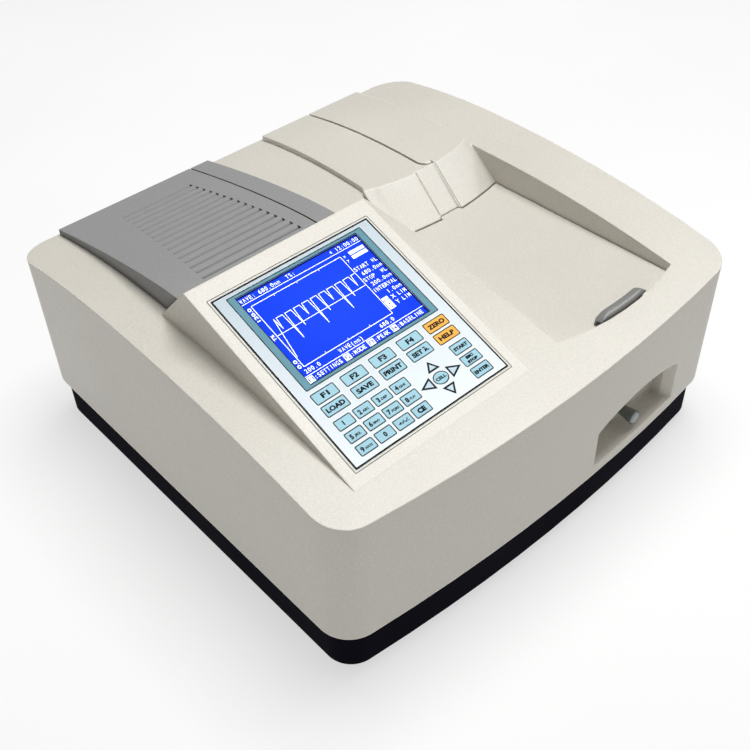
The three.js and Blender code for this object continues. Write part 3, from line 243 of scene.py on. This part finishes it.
def painted(name, color, roughness):
    """Sprayed paint with a slight orange-peel surface, painted paler at the edges for wear and a painted
    highlight.
    """
    s = Surface(name)
    peel = s.noise(260.0, 2.0, 0.5)
    cloud = s.noise(11.0, 4.0)
    base = s.blend(s.span(cloud, 0.0, 1.0), shade(color, 0.95), shade(color, 1.05))
    edge = s.rounding(0.0007)
    # paler edges: a painted highlight together with wear
    wear_and_highlight = s.blend(s.edges(edge), base, shade(color, 1.25))
    polish = s.span(cloud, roughness - 0.05, roughness + 0.1)
    return s.finish(wear_and_highlight, polish, s.bump(peel, 0.15, 0.0002, edge))


def rubber(name, color):
    """Moulded rubber with a fine grain and dust on it."""
    s = Surface(name)
    grain = s.noise(700.0, 3.0)
    dust = s.noise(40.0, 5.0, 0.7)
    base = s.blend(s.span(dust, 0.0, 1.0, 0.4, 0.8), color, shade(color, 1.7))
    return s.finish(base, s.span(dust, 0.7, 0.9), s.bump(grain, 0.4, 0.0002))


def glass(name, color):
    """Clear glass with faint smears."""
    s = Surface(name)
    smear = s.noise(30.0, 4.0)
    base = s.blend(s.span(smear, 0.0, 1.0), shade(color, 0.97), color)
    return s.finish(base, s.span(smear, 0.03, 0.09), Transmission_Weight=0.85, Alpha=0.35, IOR=1.47)


def ink(name, color, spread=0.03, specular=0.12):
    """Screen-printed ink on film, with a faint unevenness."""
    s = Surface(name)
    cloud = s.noise(90.0, 3.0)
    weave = s.noise(1500.0, 1.0)
    base = s.blend(s.span(cloud, 0.0, 1.0), shade(color, 1.0 - spread), shade(color, 1.0 + spread))
    polish = s.span(weave, 0.36, 0.48)
    return s.finish(base, polish, s.bump(weave, 0.08, 0.00008), Specular_IOR_Level=specular)


# the cream's strongly paler edges are mostly a painted edge highlight
cream = grained_plastic("casing_cream", srgb(207, 203, 193), 0.42, grain=0.22, wear_and_highlight=1.6, grain_scale=760.0,
                        specular=0.5, radius=0.0018)
# the vent's louvre grooves get painted shade
vent_grey = grained_plastic("vent_grey", srgb(145, 145, 145), 0.5, grain=0.32, wear_and_highlight=1.2, grain_scale=760.0,
                            specular=0.12, groove_shade=0.3)
base_black = grained_plastic("base_black", srgb(13, 11, 22), 0.6, grain=0.25, wear_and_highlight=1.3, specular=0.01)
black_plastic = grained_plastic("black_plastic", srgb(24, 24, 27), 0.45, grain=0.2, wear_and_highlight=1.4)
handle_grey = grained_plastic("handle_grey", srgb(126, 126, 124), 0.36, grain=0.05, wear_and_highlight=1.05)
knob_grey = grained_plastic("knob_grey", srgb(100, 103, 98), 0.35, grain=0.08, wear_and_highlight=1.2)
knob_cap_grey = grained_plastic("knob_cap_grey", srgb(148, 152, 154), 0.25, grain=0.03, wear_and_highlight=1.1)
steel = metal("steel", srgb(190, 192, 195))
brass = metal("brass", srgb(196, 160, 90), 0.3, (40.0, 1.0, 40.0))
cast_alloy = cast("cast_alloy", srgb(170, 172, 174))
case_black = painted("case_black", srgb(26, 26, 29), 0.6)
carriage_black = painted("carriage_black", srgb(30, 30, 34), 0.4)
motor_grey = painted("motor_grey", srgb(84, 86, 90), 0.4)
sheet_steel = painted("sheet_steel", srgb(205, 202, 192), 0.42)
foot_rubber = rubber("foot_rubber", srgb(26, 26, 28))
belt_rubber = rubber("belt_rubber", srgb(30, 30, 32))
mirror = metal("mirror", srgb(225, 230, 236), 0.08, (1.0, 1.0, 1.0), 0.01, 600.0)
clear_glass = glass("clear_glass", srgb(240, 246, 248))


def board_material():
    """Green circuit board with paler tracks."""
    s = Surface("board_green")
    tracks = s.node("TexBrick", Scale=60.0)
    tracks.inputs["Color1"].default_value = srgb(26, 92, 52)
    tracks.inputs["Color2"].default_value = srgb(34, 108, 62)
    tracks.inputs["Mortar"].default_value = srgb(58, 140, 84)
    tracks.inputs["Mortar Size"].default_value = 0.03
    s.link(s.place(), tracks.inputs["Vector"])
    cloud = s.noise(40.0)
    relief = s.bump(tracks.outputs["Fac"], 0.2, 0.0001)
    return s.finish(tracks.outputs["Color"], s.span(cloud, 0.3, 0.45), relief)


def film_material():
    """The keypad's film: pale blue, growing whiter down the slope."""
    s = Surface("keypad_film")
    low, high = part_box("keypad_overlay")
    split = s.node("SeparateXYZ")
    s.link(s.place(), split.inputs["Vector"])
    fall = s.span(split.outputs["Y"], 0.0, 1.0, low.y, high.y)
    cloud = s.noise(35.0, 3.0)
    base = s.blend(fall, srgb(236, 243, 247), srgb(194, 208, 216))
    weave = s.noise(1400.0, 1.0)
    relief = s.bump(weave, 0.06, 0.00008)
    return s.finish(base, s.span(cloud, 0.3, 0.42), relief, Specular_IOR_Level=0.08)


def display_material():
    """The lit display: blue, with a painted sheen that makes it a little brighter in the middle, and a
    faint dot pitch.
    """
    s = Surface("display_blue")
    low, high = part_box("display_glass")
    middle = (low + high) / 2
    offset = s.node("VectorMath", operation="SUBTRACT")
    offset.inputs[1].default_value = middle
    s.link(s.place(), offset.inputs[0])
    length = s.node("VectorMath", operation="LENGTH")
    s.link(offset.outputs["Vector"], length.inputs[0])
    # painted sheen: the blue grows lighter towards the middle
    fall = s.span(length.outputs["Value"], 0.0, 1.0, 0.01, 0.075)
    base = s.blend(fall, srgb(38, 76, 234), srgb(22, 58, 222))
    dots = s.noise(1800.0, 1.0)
    lit = s.blend(s.span(dots, 0.0, 1.0), base, srgb(28, 66, 226))
    s.link(lit, s.shader.inputs["Emission Color"])
    return s.finish(lit, s.span(dots, 0.12, 0.2), Emission_Strength=0.2, Specular_IOR_Level=0.0)


finishes = {
    "casing_cream": cream, "vent_grey": vent_grey, "base_black": base_black,
    "handle_grey": handle_grey, "foot_rubber": foot_rubber, "steel": steel,
    "black_plastic": black_plastic, "carriage_black": carriage_black,
    "knob_grey": knob_grey, "knob_cap_grey": knob_cap_grey, "brass": brass,
    "keypad_film": film_material(), "display_blue": display_material(),
    "film_orange": ink("film_orange", srgb(196, 122, 48)), "board_green": board_material(),
    "cast_alloy": cast_alloy, "case_black": case_black, "motor_grey": motor_grey,
    "mirror": mirror, "clear_glass": clear_glass, "belt_rubber": belt_rubber,
    "sheet_steel": sheet_steel,
}

for part in frame["record"]["subparts"]:
    piece = nodes[part["node"]]
    piece.data.materials.clear()
    piece.data.materials.append(finishes[part["material_slot"]])

# ------------------------------------------------- rounded edges on the CAD pieces


SHARP = math.radians(28.0)  # edges that turn further than this are rounded
FLAT = math.radians(0.25)  # faces that turn less than this are one face


def soften(name, width):
    """Rounds a CAD piece's sharp edges by a width in millimetres and smooths its curved faces."""
    piece = nodes[name]
    for polygon in piece.data.polygons:
        polygon.use_smooth = True
    weld = piece.modifiers.new("weld", "WELD")
    weld.merge_threshold = 0.00001
    planes = piece.modifiers.new("planes", "DECIMATE")
    planes.decimate_type = "DISSOLVE"
    planes.angle_limit = FLAT
    bevel = piece.modifiers.new("edges", "BEVEL")
    bevel.limit_method = "ANGLE"
    bevel.angle_limit = SHARP
    bevel.width = width * MM
    bevel.segments = 2
    bevel.use_clamp_overlap = True
    bevel.harden_normals = True
    bevel.miter_outer = "MITER_ARC"
    normals = piece.modifiers.new("normals", "WEIGHTED_NORMAL")
    normals.keep_sharp = True


EDGE_WIDTHS = {
    "upper_housing": 0.8, "spine_cover": 0.5, "vent_cover": 0.3, "vent_edge_strip": 0.4,
    "sample_lid": 0.5, "base_tray": 1.0, "lid_handle": 0.5,
    "mains_inlet": 0.4, "power_switch_frame": 0.4, "power_rocker": 0.4, "fuse_cap": 0.4,
    "compartment_tub": 0.6, "cell_carriage": 0.4, "monochromator_case": 0.5,
    "monochromator_cover": 0.4, "detector_housing": 0.5, "pull_knob": 0.3, "knob_cap": 0.3,
}
for name, width in EDGE_WIDTHS.items():
    soften(name, width)

# ------------------------------------------------------- printing on the face

# Heights are in millimetres above the console's face.
FACE_TILT = math.radians(18.9)
GLASS_MIDDLE = -2.2
GLASS_TOP = -1.2
FILM_TOP = 0.2


def face_matrix():
    """Millimetres across, up the slope and out of the face, from the display's centre."""
    low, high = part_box("display_glass")
    turn = Matrix.Rotation(FACE_TILT, 4, "X")
    centre = (low + high) / 2 - turn @ Vector((0.0, 0.0, GLASS_MIDDLE * MM))
    return Matrix.Translation(centre) @ turn @ Matrix.Scale(MM, 4)


FACE = face_matrix()


def rounded(cx, cy, width, height, radius, corner=4):
    """A rectangle about (cx, cy) whose rounded corners have so many sides each."""
    points = []
    for k, (sx, sy) in enumerate(((1, 1), (-1, 1), (-1, -1), (1, -1))):
        for i in range(corner + 1):
            angle = math.pi / 2 * (k + i / corner)
            points.append((cx + sx * (width / 2 - radius) + radius * math.cos(angle),
                           cy + sy * (height / 2 - radius) + radius * math.sin(angle)))
    return points


OVAL_SIDES = 36


def oval(cx, cy, rx, ry):
    turns = [2 * math.pi * i / OVAL_SIDES for i in range(OVAL_SIDES)]
    return [(cx + rx * math.cos(a), cy + ry * math.sin(a)) for a in turns]


def grown(outline, distance):
    """The outline moved outwards, or inwards where the distance is negative."""
    count = len(outline)
    moved = []
    for i, (x, y) in enumerate(outline):
        (px, py), (nx, ny) = outline[i - 1], outline[(i + 1) % count]
        before = Vector((x - px, y - py)).normalized()
        after = Vector((nx - x, ny - y)).normalized()
        out = Vector((before.y + after.y, -before.x - after.x)).normalized()
        reach = distance / max(0.3, out.dot(Vector((before.y, -before.x))))
        moved.append((x + out.x * reach, y + out.y * reach))
    return moved


CAPITAL_HEIGHT = 0.7  # of the lettering's size
WELD = 0.0004


class Print:
    """One printed layer: many thin closed tiles that share a mesh and an ink."""

    def __init__(self, name, material, slot):
        self.name = name
        self.material = material
        self.slot = slot
        self.mesh = bmesh.new()

    def tile(self, outline, z0, z1):
        """A closed plate between two heights."""
        low = [self.mesh.verts.new((x, y, z0)) for x, y in outline]
        high = [self.mesh.verts.new((x, y, z1)) for x, y in outline]
        self.mesh.faces.new(high)
        self.mesh.faces.new(low[::-1])
        count = len(outline)
        for i in range(count):
            j = (i + 1) % count
            self.mesh.faces.new((low[i], low[j], high[j], high[i]))

    def ring(self, outer, inner, z0, z1):
        """A closed frame between two outlines of equally many points."""
        loops = [[self.mesh.verts.new((x, y, z)) for x, y in outline]
                 for outline, z in ((outer, z0), (outer, z1), (inner, z1), (inner, z0))]
        count = len(outer)
        for k in range(4):
            a, b = loops[k], loops[(k + 1) % 4]
            for i in range(count):
                j = (i + 1) % count
                self.mesh.faces.new((a[i], a[j], b[j], b[i]))

    def stroke(self, points, width, z0, z1):
        """A line of even width along points, as overlapping straight strips."""
        for first, last in zip(points, points[1:]):
            start, end = Vector(first), Vector(last)
            along = (end - start).normalized() * (width / 2)
            side = Vector((-along.y, along.x))
            quad = (start - along - side, end + along - side, end + along + side, start - along + side)
            self.tile([(p.x, p.y) for p in quad], z0, z1)

    def text(self, words, x, y, height, z0, z1, bold=0.0, width=None, left=False, turn=0.0, slant=0.0):
        """Raised lettering about (x, y), or from x where left is set, fitted to a width."""
        curve = bpy.data.curves.new("words", "FONT")
        curve.body = words
        curve.size = height / CAPITAL_HEIGHT
        curve.offset = bold
        curve.shear = slant
        curve.resolution_u = 3
        curve.extrude = (z1 - z0) / 2
        words_object = bpy.data.objects.new("words", curve)
        bpy.context.scene.collection.objects.link(words_object)
        bpy.context.view_layer.update()
        graph = bpy.context.evaluated_depsgraph_get()
        mesh = bpy.data.meshes.new_from_object(words_object.evaluated_get(graph))
        across = [vertex.co.x for vertex in mesh.vertices]
        squeeze = 1.0 if width is None else width / (max(across) - min(across))
        start = min(across) if left else (max(across) + min(across)) / 2
        place = Matrix.Translation((x, y, (z0 + z1) / 2)) @ Matrix.Rotation(turn, 4, "Z")
        mesh.transform(place @ Matrix.Diagonal((squeeze, 1.0, 1.0, 1.0))
                       @ Matrix.Translation((-start, -height / 2, 0.0)))
        self.mesh.from_mesh(mesh)
        bpy.data.objects.remove(words_object)
        bpy.data.curves.remove(curve)
        bpy.data.meshes.remove(mesh)

    def done(self):
        """Lays the layer on the console's face, as a piece that moves with the body."""
        bmesh.ops.remove_doubles(self.mesh, verts=self.mesh.verts, dist=WELD)
        bmesh.ops.recalc_face_normals(self.mesh, faces=self.mesh.faces)
        mesh = bpy.data.meshes.new(self.name)
        self.mesh.to_mesh(mesh)
        self.mesh.free()
        mesh.transform(FACE)
        mesh.materials.append(self.material)
        made = bpy.data.objects.new(self.name, mesh)
        bpy.context.scene.collection.objects.link(made)
        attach(made, ROOT)


def lit_ink(name, color, glow):
    """Ink that the display's backlight shines through."""
    s = Surface(name)
    cloud = s.noise(120.0, 2.0)
    base = s.blend(s.span(cloud, 0.0, 1.0), shade(color, 0.95), color)
    s.link(base, s.shader.inputs["Emission Color"])
    return s.finish(base, s.span(cloud, 0.3, 0.4), Emission_Strength=glow)


halo = Print("key_halos", ink("ink_white", srgb(236, 241, 243), 0.01), "keypad_film")
outline = Print("key_outlines", ink("ink_navy", srgb(18, 36, 48), 0.05, specular=0.03), "base_black")
fill = Print("key_faces", ink("ink_blue", srgb(160, 206, 221), 0.04), "keypad_film")
warm = Print("key_faces_warm", ink("ink_orange", srgb(250, 180, 62), 0.03), "film_orange")
legend = Print("key_legends", ink("ink_legend", srgb(12, 16, 28), 0.05, specular=0.03), "base_black")
bezel = Print("display_border", ink("ink_teal", srgb(92, 144, 160), 0.05), "keypad_film")
black_rule_and_shadow = Print("film_border_and_window_shadow", ink("ink_black_and_shadow", srgb(10, 12, 16), 0.05, specular=0.03), "base_black")
recess_edge_shade = Print("recess_edge_shade_line", ink("recess_shade_grey", srgb(84, 98, 100), 0.05, specular=0.03), "vent_grey")
screen = Print("display_graphics", lit_ink("ink_screen", srgb(222, 232, 250), 0.55), "keypad_film")
mark = Print("display_marks", ink("ink_screen_blue", srgb(30, 60, 170), 0.05), "display_blue")

LAYER = 0.03  # each printed layer stands this much above the one before
SUNK = 0.02  # and starts this far below the surface it is printed on
Z_HALO, Z_OUTLINE, Z_FILL, Z_LEGEND = ((FILM_TOP - SUNK, FILM_TOP + k * LAYER) for k in (1, 2, 3, 4))
Z_SCREEN = (GLASS_TOP - SUNK, GLASS_TOP + 0.05)
Z_MARK = (GLASS_TOP - SUNK, GLASS_TOP + 0.09)
KEY_LINE = 0.85  # width of the line round a key
HALO = 0.85  # width of the pale line outside it


def key(shape_outline, face=fill):
    """A printed key: its face inside a dark line inside a pale one."""
    halo.tile(grown(shape_outline, HALO), *Z_HALO)
    outline.tile(shape_outline, *Z_OUTLINE)
    face.tile(grown(shape_outline, -KEY_LINE), *Z_FILL)


def wide_key(x, y, words, width, height, face=fill):
    key(rounded(x, y, 21.4, 10.0, 1.3), face)
    legend.text(words, x, y, height, *Z_LEGEND, bold=0.27, width=width)


# x, upper legend, lower legend and its width
FUNCTION_COLUMNS = (
    (-54.8, "F1", "LOAD", 16.4), (-27.5, "F2", "SAVE", 15.0),
    (-0.3, "F3", "PRINT", 17.0), (27.0, "F4", "SET λ", 15.4),
)
FUNCTION_ROWS = (-55.5, -67.4)
WARM_X = 54.2
NUMBER_COLUMNS = (-57.8, -40.3, -22.8, -5.3)
NUMBER_ROWS = (
    (-80.9, ("1", "2ABC", "3DEF", "4GHI")),
    (-92.7, ("5JKL", "6MNO", "7PQRS", "8TUV")),
    (-104.5, ("9WXYZ", "0", "+/-/.", "CE")),
)
COMMAND_X = 56.1
# legend, y, width and height
COMMANDS = (
    ("START", -80.9, 13.6, 2.6), ("ESC", -90.8, 7.2, 2.0),
    ("STOP", -94.6, 9.8, 2.0), ("ENTER", -104.5, 14.2, 2.6),
)


def print_keys():
    upper, lower = FUNCTION_ROWS
    for x, top, under, width in FUNCTION_COLUMNS:
        wide_key(x, upper, top, 6.9, 3.9)
        wide_key(x, lower, under, width, 3.5)
    wide_key(WARM_X, upper, "ZERO", 16.2, 3.5, warm)
    wide_key(WARM_X, lower, "HELP", 15.0, 3.5, warm)
    for y, row in NUMBER_ROWS:
        for x, label in zip(NUMBER_COLUMNS, row):
            key(rounded(x, y, 15.6, 9.2, 1.2))
            number_legend(x, y, label)
    for y, row in NUMBER_ROWS:
        key(rounded(COMMAND_X, y, 17.6, 9.6, 1.2))
    for words, y, width, height in COMMANDS:
        legend.text(words, COMMAND_X, y, height, *Z_LEGEND, bold=0.25, width=width)


def number_legend(x, y, label):
    """A digit with the small letters after it, or a sign on its own."""
    if label == "CE":
        legend.text(label, x, y, 3.5, *Z_LEGEND, bold=0.36, width=7.4)
    elif label == "+/-/.":
        legend.text(label, x, y, 2.4, *Z_LEGEND, bold=0.15, width=9.6, slant=0.25)
    elif label == "0":
        legend.text(label, x, y, 3.5, *Z_LEGEND, bold=0.27)
    else:
        legend.text(label[0], x - (1.2 if label == "1" else 3.6), y, 3.5, *Z_LEGEND, bold=0.27)
    if label[0].isdigit() and len(label) > 1:
        letters = label[1:]
        width = 5.9 if len(letters) == 3 else 7.0
        legend.text(letters, x - 1.6, y - 0.6, 1.8, *Z_LEGEND, bold=0.13, width=width, left=True,
                    slant=0.15)


# up, right, left and down, each anticlockwise
ARROWS = (
    ((24.9, -76.6), (19.0, -85.4), (30.8, -85.4)), ((45.3, -92.7), (33.4, -87.2), (33.4, -98.2)),
    ((4.8, -92.7), (16.7, -98.2), (16.7, -87.4)), ((25.2, -109.4), (31.2, -100.2), (19.4, -100.2)),
)


def print_arrows():
    pale = Print("arrow_faces", ink("ink_pale", srgb(196, 218, 228), 0.03), "keypad_film")
    for corners in ARROWS:
        halo.tile(grown(corners, 0.5), *Z_HALO)
        outline.tile(corners, *Z_OUTLINE)
        pale.tile(grown(corners, -1.5), *Z_FILL)
    pale.done()
    key(oval(24.9, -92.7, 6.9, 5.4))
    legend.text("CELL", 24.9, -92.7, 2.3, *Z_LEGEND, bold=0.18, width=9.6)


def frame_outline(half_w, low, high, radius):
    return rounded(0.0, (low + high) / 2, 2 * half_w, high - low, radius, 2)


def print_borders():
    display = frame_outline(58.2, -43.8, 43.8, 0.3)
    outer = frame_outline(64.6, -46.8, 46.8, 0.6)
    bezel.ring(outer, display, *Z_HALO)
    black_rule_and_shadow.ring(grown(outer, 0.25), grown(outer, -0.5), *Z_OUTLINE)
    black_rule_and_shadow.ring(grown(display, 0.5), display, *Z_OUTLINE)
    # painted shadow: a dark ring round the edge of the glass, where the film's window shades it
    black_rule_and_shadow.ring(grown(display, -0.05), grown(display, -0.8), GLASS_TOP - SUNK, GLASS_TOP + LAYER)
    film = frame_outline(75.3, -114.1, 51.1, 0.5)
    black_rule_and_shadow.ring(grown(film, -0.02), grown(film, -1.25), *Z_OUTLINE)
    recess = frame_outline(77.6, -116.3, 53.4, 0.8)
    # painted shade: a thin dark grey ring along the rim of the film's recess
    recess_edge_shade.ring(recess, grown(recess, -0.6), -0.02, 0.05)


# a made-up trace for the graph, in millimetres on the face
GRAPH_LEFT, GRAPH_RIGHT = -52.2, 33.5
TRACE_START, TRACE_TOP = -20.0, 15.0
DIP_COUNT = 10
DIP_SPACING = 8.0
DIP_HALF_WIDTH = 1.2
DIP_DEPTHS = (10.0, 24.0, 16.0)  # taken in turn


def trace():
    """A plain spectrum of this script's own: a rise, then evenly spaced dips."""
    points = [(GRAPH_LEFT + 1.0, TRACE_START)]
    for i in range(DIP_COUNT):
        x = GRAPH_LEFT + (i + 1) * DIP_SPACING
        dip = TRACE_TOP - DIP_DEPTHS[i % len(DIP_DEPTHS)]
        points += [(x - DIP_HALF_WIDTH, TRACE_TOP), (x, dip), (x + DIP_HALF_WIDTH, TRACE_TOP)]
    return points + [(GRAPH_RIGHT - 1.0, TRACE_TOP)]


CELL = 2.88  # width of a character on the display
SCREEN_TEXTS = (
    ("WAVE: 680.0nm  T%:", -57.4, 40.2), ("12:00:00", 34.4, 40.2),
    ("200.0", -54.8, -33.0), ("WAVE(nm)", -23.0, -33.0), ("680.0", 17.0, -33.0),
    (":SETTINGS", -51.6, -40.1), (":MODE", -17.2, -40.1), (":PEAK", 6.0, -40.1), (":BASELINE", 28.8, -40.1),
    ("START WL", 34.4, 17.2), ("680.0nm", 37.3, 11.4), ("STOP  WL", 34.4, 5.7), ("200.0nm", 37.3, 0.0),
    ("INTERVAL", 34.4, -5.9), ("1.0nm", 43.0, -11.7), ("X LIM", 43.0, -17.3), ("Y LIM", 43.0, -22.9),
)
# left, right, bottom and top
SCREEN_BOXES = (
    (41.5, 56.4, 30.2, 33.4), (41.5, 56.4, 25.8, 29.2), (34.5, 40.3, -26.0, -14.4),
    (-57.4, -51.9, -42.8, -37.5), (-23.2, -17.6, -42.8, -37.5),
    (-0.4, 5.6, -42.8, -37.5), (22.8, 28.5, -42.8, -37.5),
)
SCREEN_MARKS = (("F1", -54.6, -40.1), ("F2", -20.4, -40.1), ("F3", 2.6, -40.1), ("F4", 25.6, -40.1))
SCREEN_LINES = (((-57.4, 37), (57.4, 37)), ((-57.4, -36.6), (57.4, -36.6)), ((-52.2, 2), (33.5, 2)))
WIDE_LETTERS = "MWNmw%0AVOSGT"
# where a pointer is, and where it points
POINTERS = ((35.9, -17.3, -1, 0), (38.9, -17.3, 1, 0), (37.4, -21.6, 0, 1), (37.4, -24.4, 0, -1))


def readout(words, x, y):
    """Display lettering, one character to a cell."""
    for i, letter in enumerate(words):
        if letter == " ":
            continue
        width = 2.2 if letter in WIDE_LETTERS else None
        screen.text(letter, x + (i + 0.5) * CELL, y, 3.5, *Z_SCREEN, bold=0.05, width=width)


def pointer(x, y, dx, dy, size=1.2):
    """A small triangle pointing along (dx, dy)."""
    return [(x + size * dx, y + size * dy), (x - size * dy, y + size * dx), (x + size * dy, y - size * dx)]


def print_graph():
    for points in SCREEN_LINES:
        screen.stroke(points, 0.55, *Z_SCREEN)
    box = [(x - 9.35, y) for x, y in frame_outline(42.85, -29.0, 33.0, 0.1)]
    screen.ring(grown(box, 0.3), grown(box, -0.3), *Z_SCREEN)
    for x in (-31.4, -9.8, 11.5):
        for y, step in ((33, -1.4), (-29, 1.4)):
            screen.stroke(((x, y), (x, y + step)), 0.5, *Z_SCREEN)
    screen.stroke(trace(), 0.6, *Z_SCREEN)


def print_readouts():
    for x0, x1, y0, y1 in SCREEN_BOXES:
        screen.tile([(x0, y0), (x1, y0), (x1, y1), (x0, y1)], *Z_SCREEN)
    screen.tile(pointer(30.6, 40.2, -1, 0, 1.5), *Z_SCREEN)
    for words, x, y in SCREEN_TEXTS:
        readout(words, x, y)
    for words, x, y in (("x", 36.6, 31.8), ("y", 36.6, 27.5)):
        screen.text(words, x, y, 2.6, *Z_SCREEN, bold=0.08)
    for words, y in (("120.0", 25.8), ("T%", 2.2), ("0.0", -25.0)):
        width = CELL * 0.93 * len(words)
        screen.text(words, -55.2, y, 2.7, *Z_SCREEN, bold=0.08, width=width, turn=math.pi / 2)
    for words, x, y in SCREEN_MARKS:
        mark.text(words, x, y, 3.3, *Z_MARK, bold=0.08, width=4.2)
    for x, y, dx, dy in POINTERS:
        mark.tile(pointer(x, y, dx, dy), *Z_MARK)


print_keys()
print_arrows()
print_borders()
print_graph()
print_readouts()
for layer in (halo, outline, fill, warm, legend, bezel, black_rule_and_shadow, recess_edge_shade, screen, mark):
    layer.done()

# ------------------------------------------------------------ floor and light

FLOOR_HALF = 30.0
FLOOR_GAP = 0.0005


def make_floor():
    s = Surface("floor")
    cloud = s.noise(1.5, 3.0)
    base = s.blend(s.span(cloud, 0.0, 1.0), srgb(160, 160, 160), srgb(163, 163, 163))
    s.link(base, s.shader.inputs["Emission Color"])
    polish = s.span(cloud, 0.75, 0.85)
    material = s.finish(base, polish, Specular_IOR_Level=0.05, Emission_Strength=1.72)
    corners = [(x * FLOOR_HALF, y * FLOOR_HALF, 0) for x, y in ((-1, -1), (1, -1), (1, 1), (-1, 1))]
    mesh = bpy.data.meshes.new("floor")
    mesh.from_pydata(corners, [], [(0, 1, 2, 3)])
    mesh.materials.append(material)
    floor = bpy.data.objects.new("floor", mesh)
    floor.location.z = -FLOOR_GAP
    bpy.context.scene.collection.objects.link(floor)


def area_light(name, at, size, power):
    """A square light that points at the middle of the instrument."""
    data = bpy.data.lights.new(name, "AREA")
    data.shape = "SQUARE"
    data.size = size
    data.energy = power
    light = bpy.data.objects.new(name, data)
    light.location = at
    direction = Vector((0.0, 0.0, 0.1)) - Vector(at)
    light.rotation_euler = direction.to_track_quat("-Z", "Y").to_euler()
    bpy.context.scene.collection.objects.link(light)
    return light


def make_world(strength):
    world = bpy.data.worlds.new("world")
    world.use_nodes = True
    background = world.node_tree.nodes["Background"]
    background.inputs["Color"].default_value = (1.0, 1.0, 1.0, 1.0)
    background.inputs["Strength"].default_value = strength
    bpy.context.scene.world = world


make_floor()
make_world(0.26)
area_light("key_light", (0.3, 0.05, 2.05), 1.1, 36.0)
sheen = area_light("sheen_light", (1.0, -0.7, 1.7), 1.6, 54.0)
sheen.visible_diffuse = False  # adds only gloss
bpy.context.scene.view_settings.view_transform = "Standard"
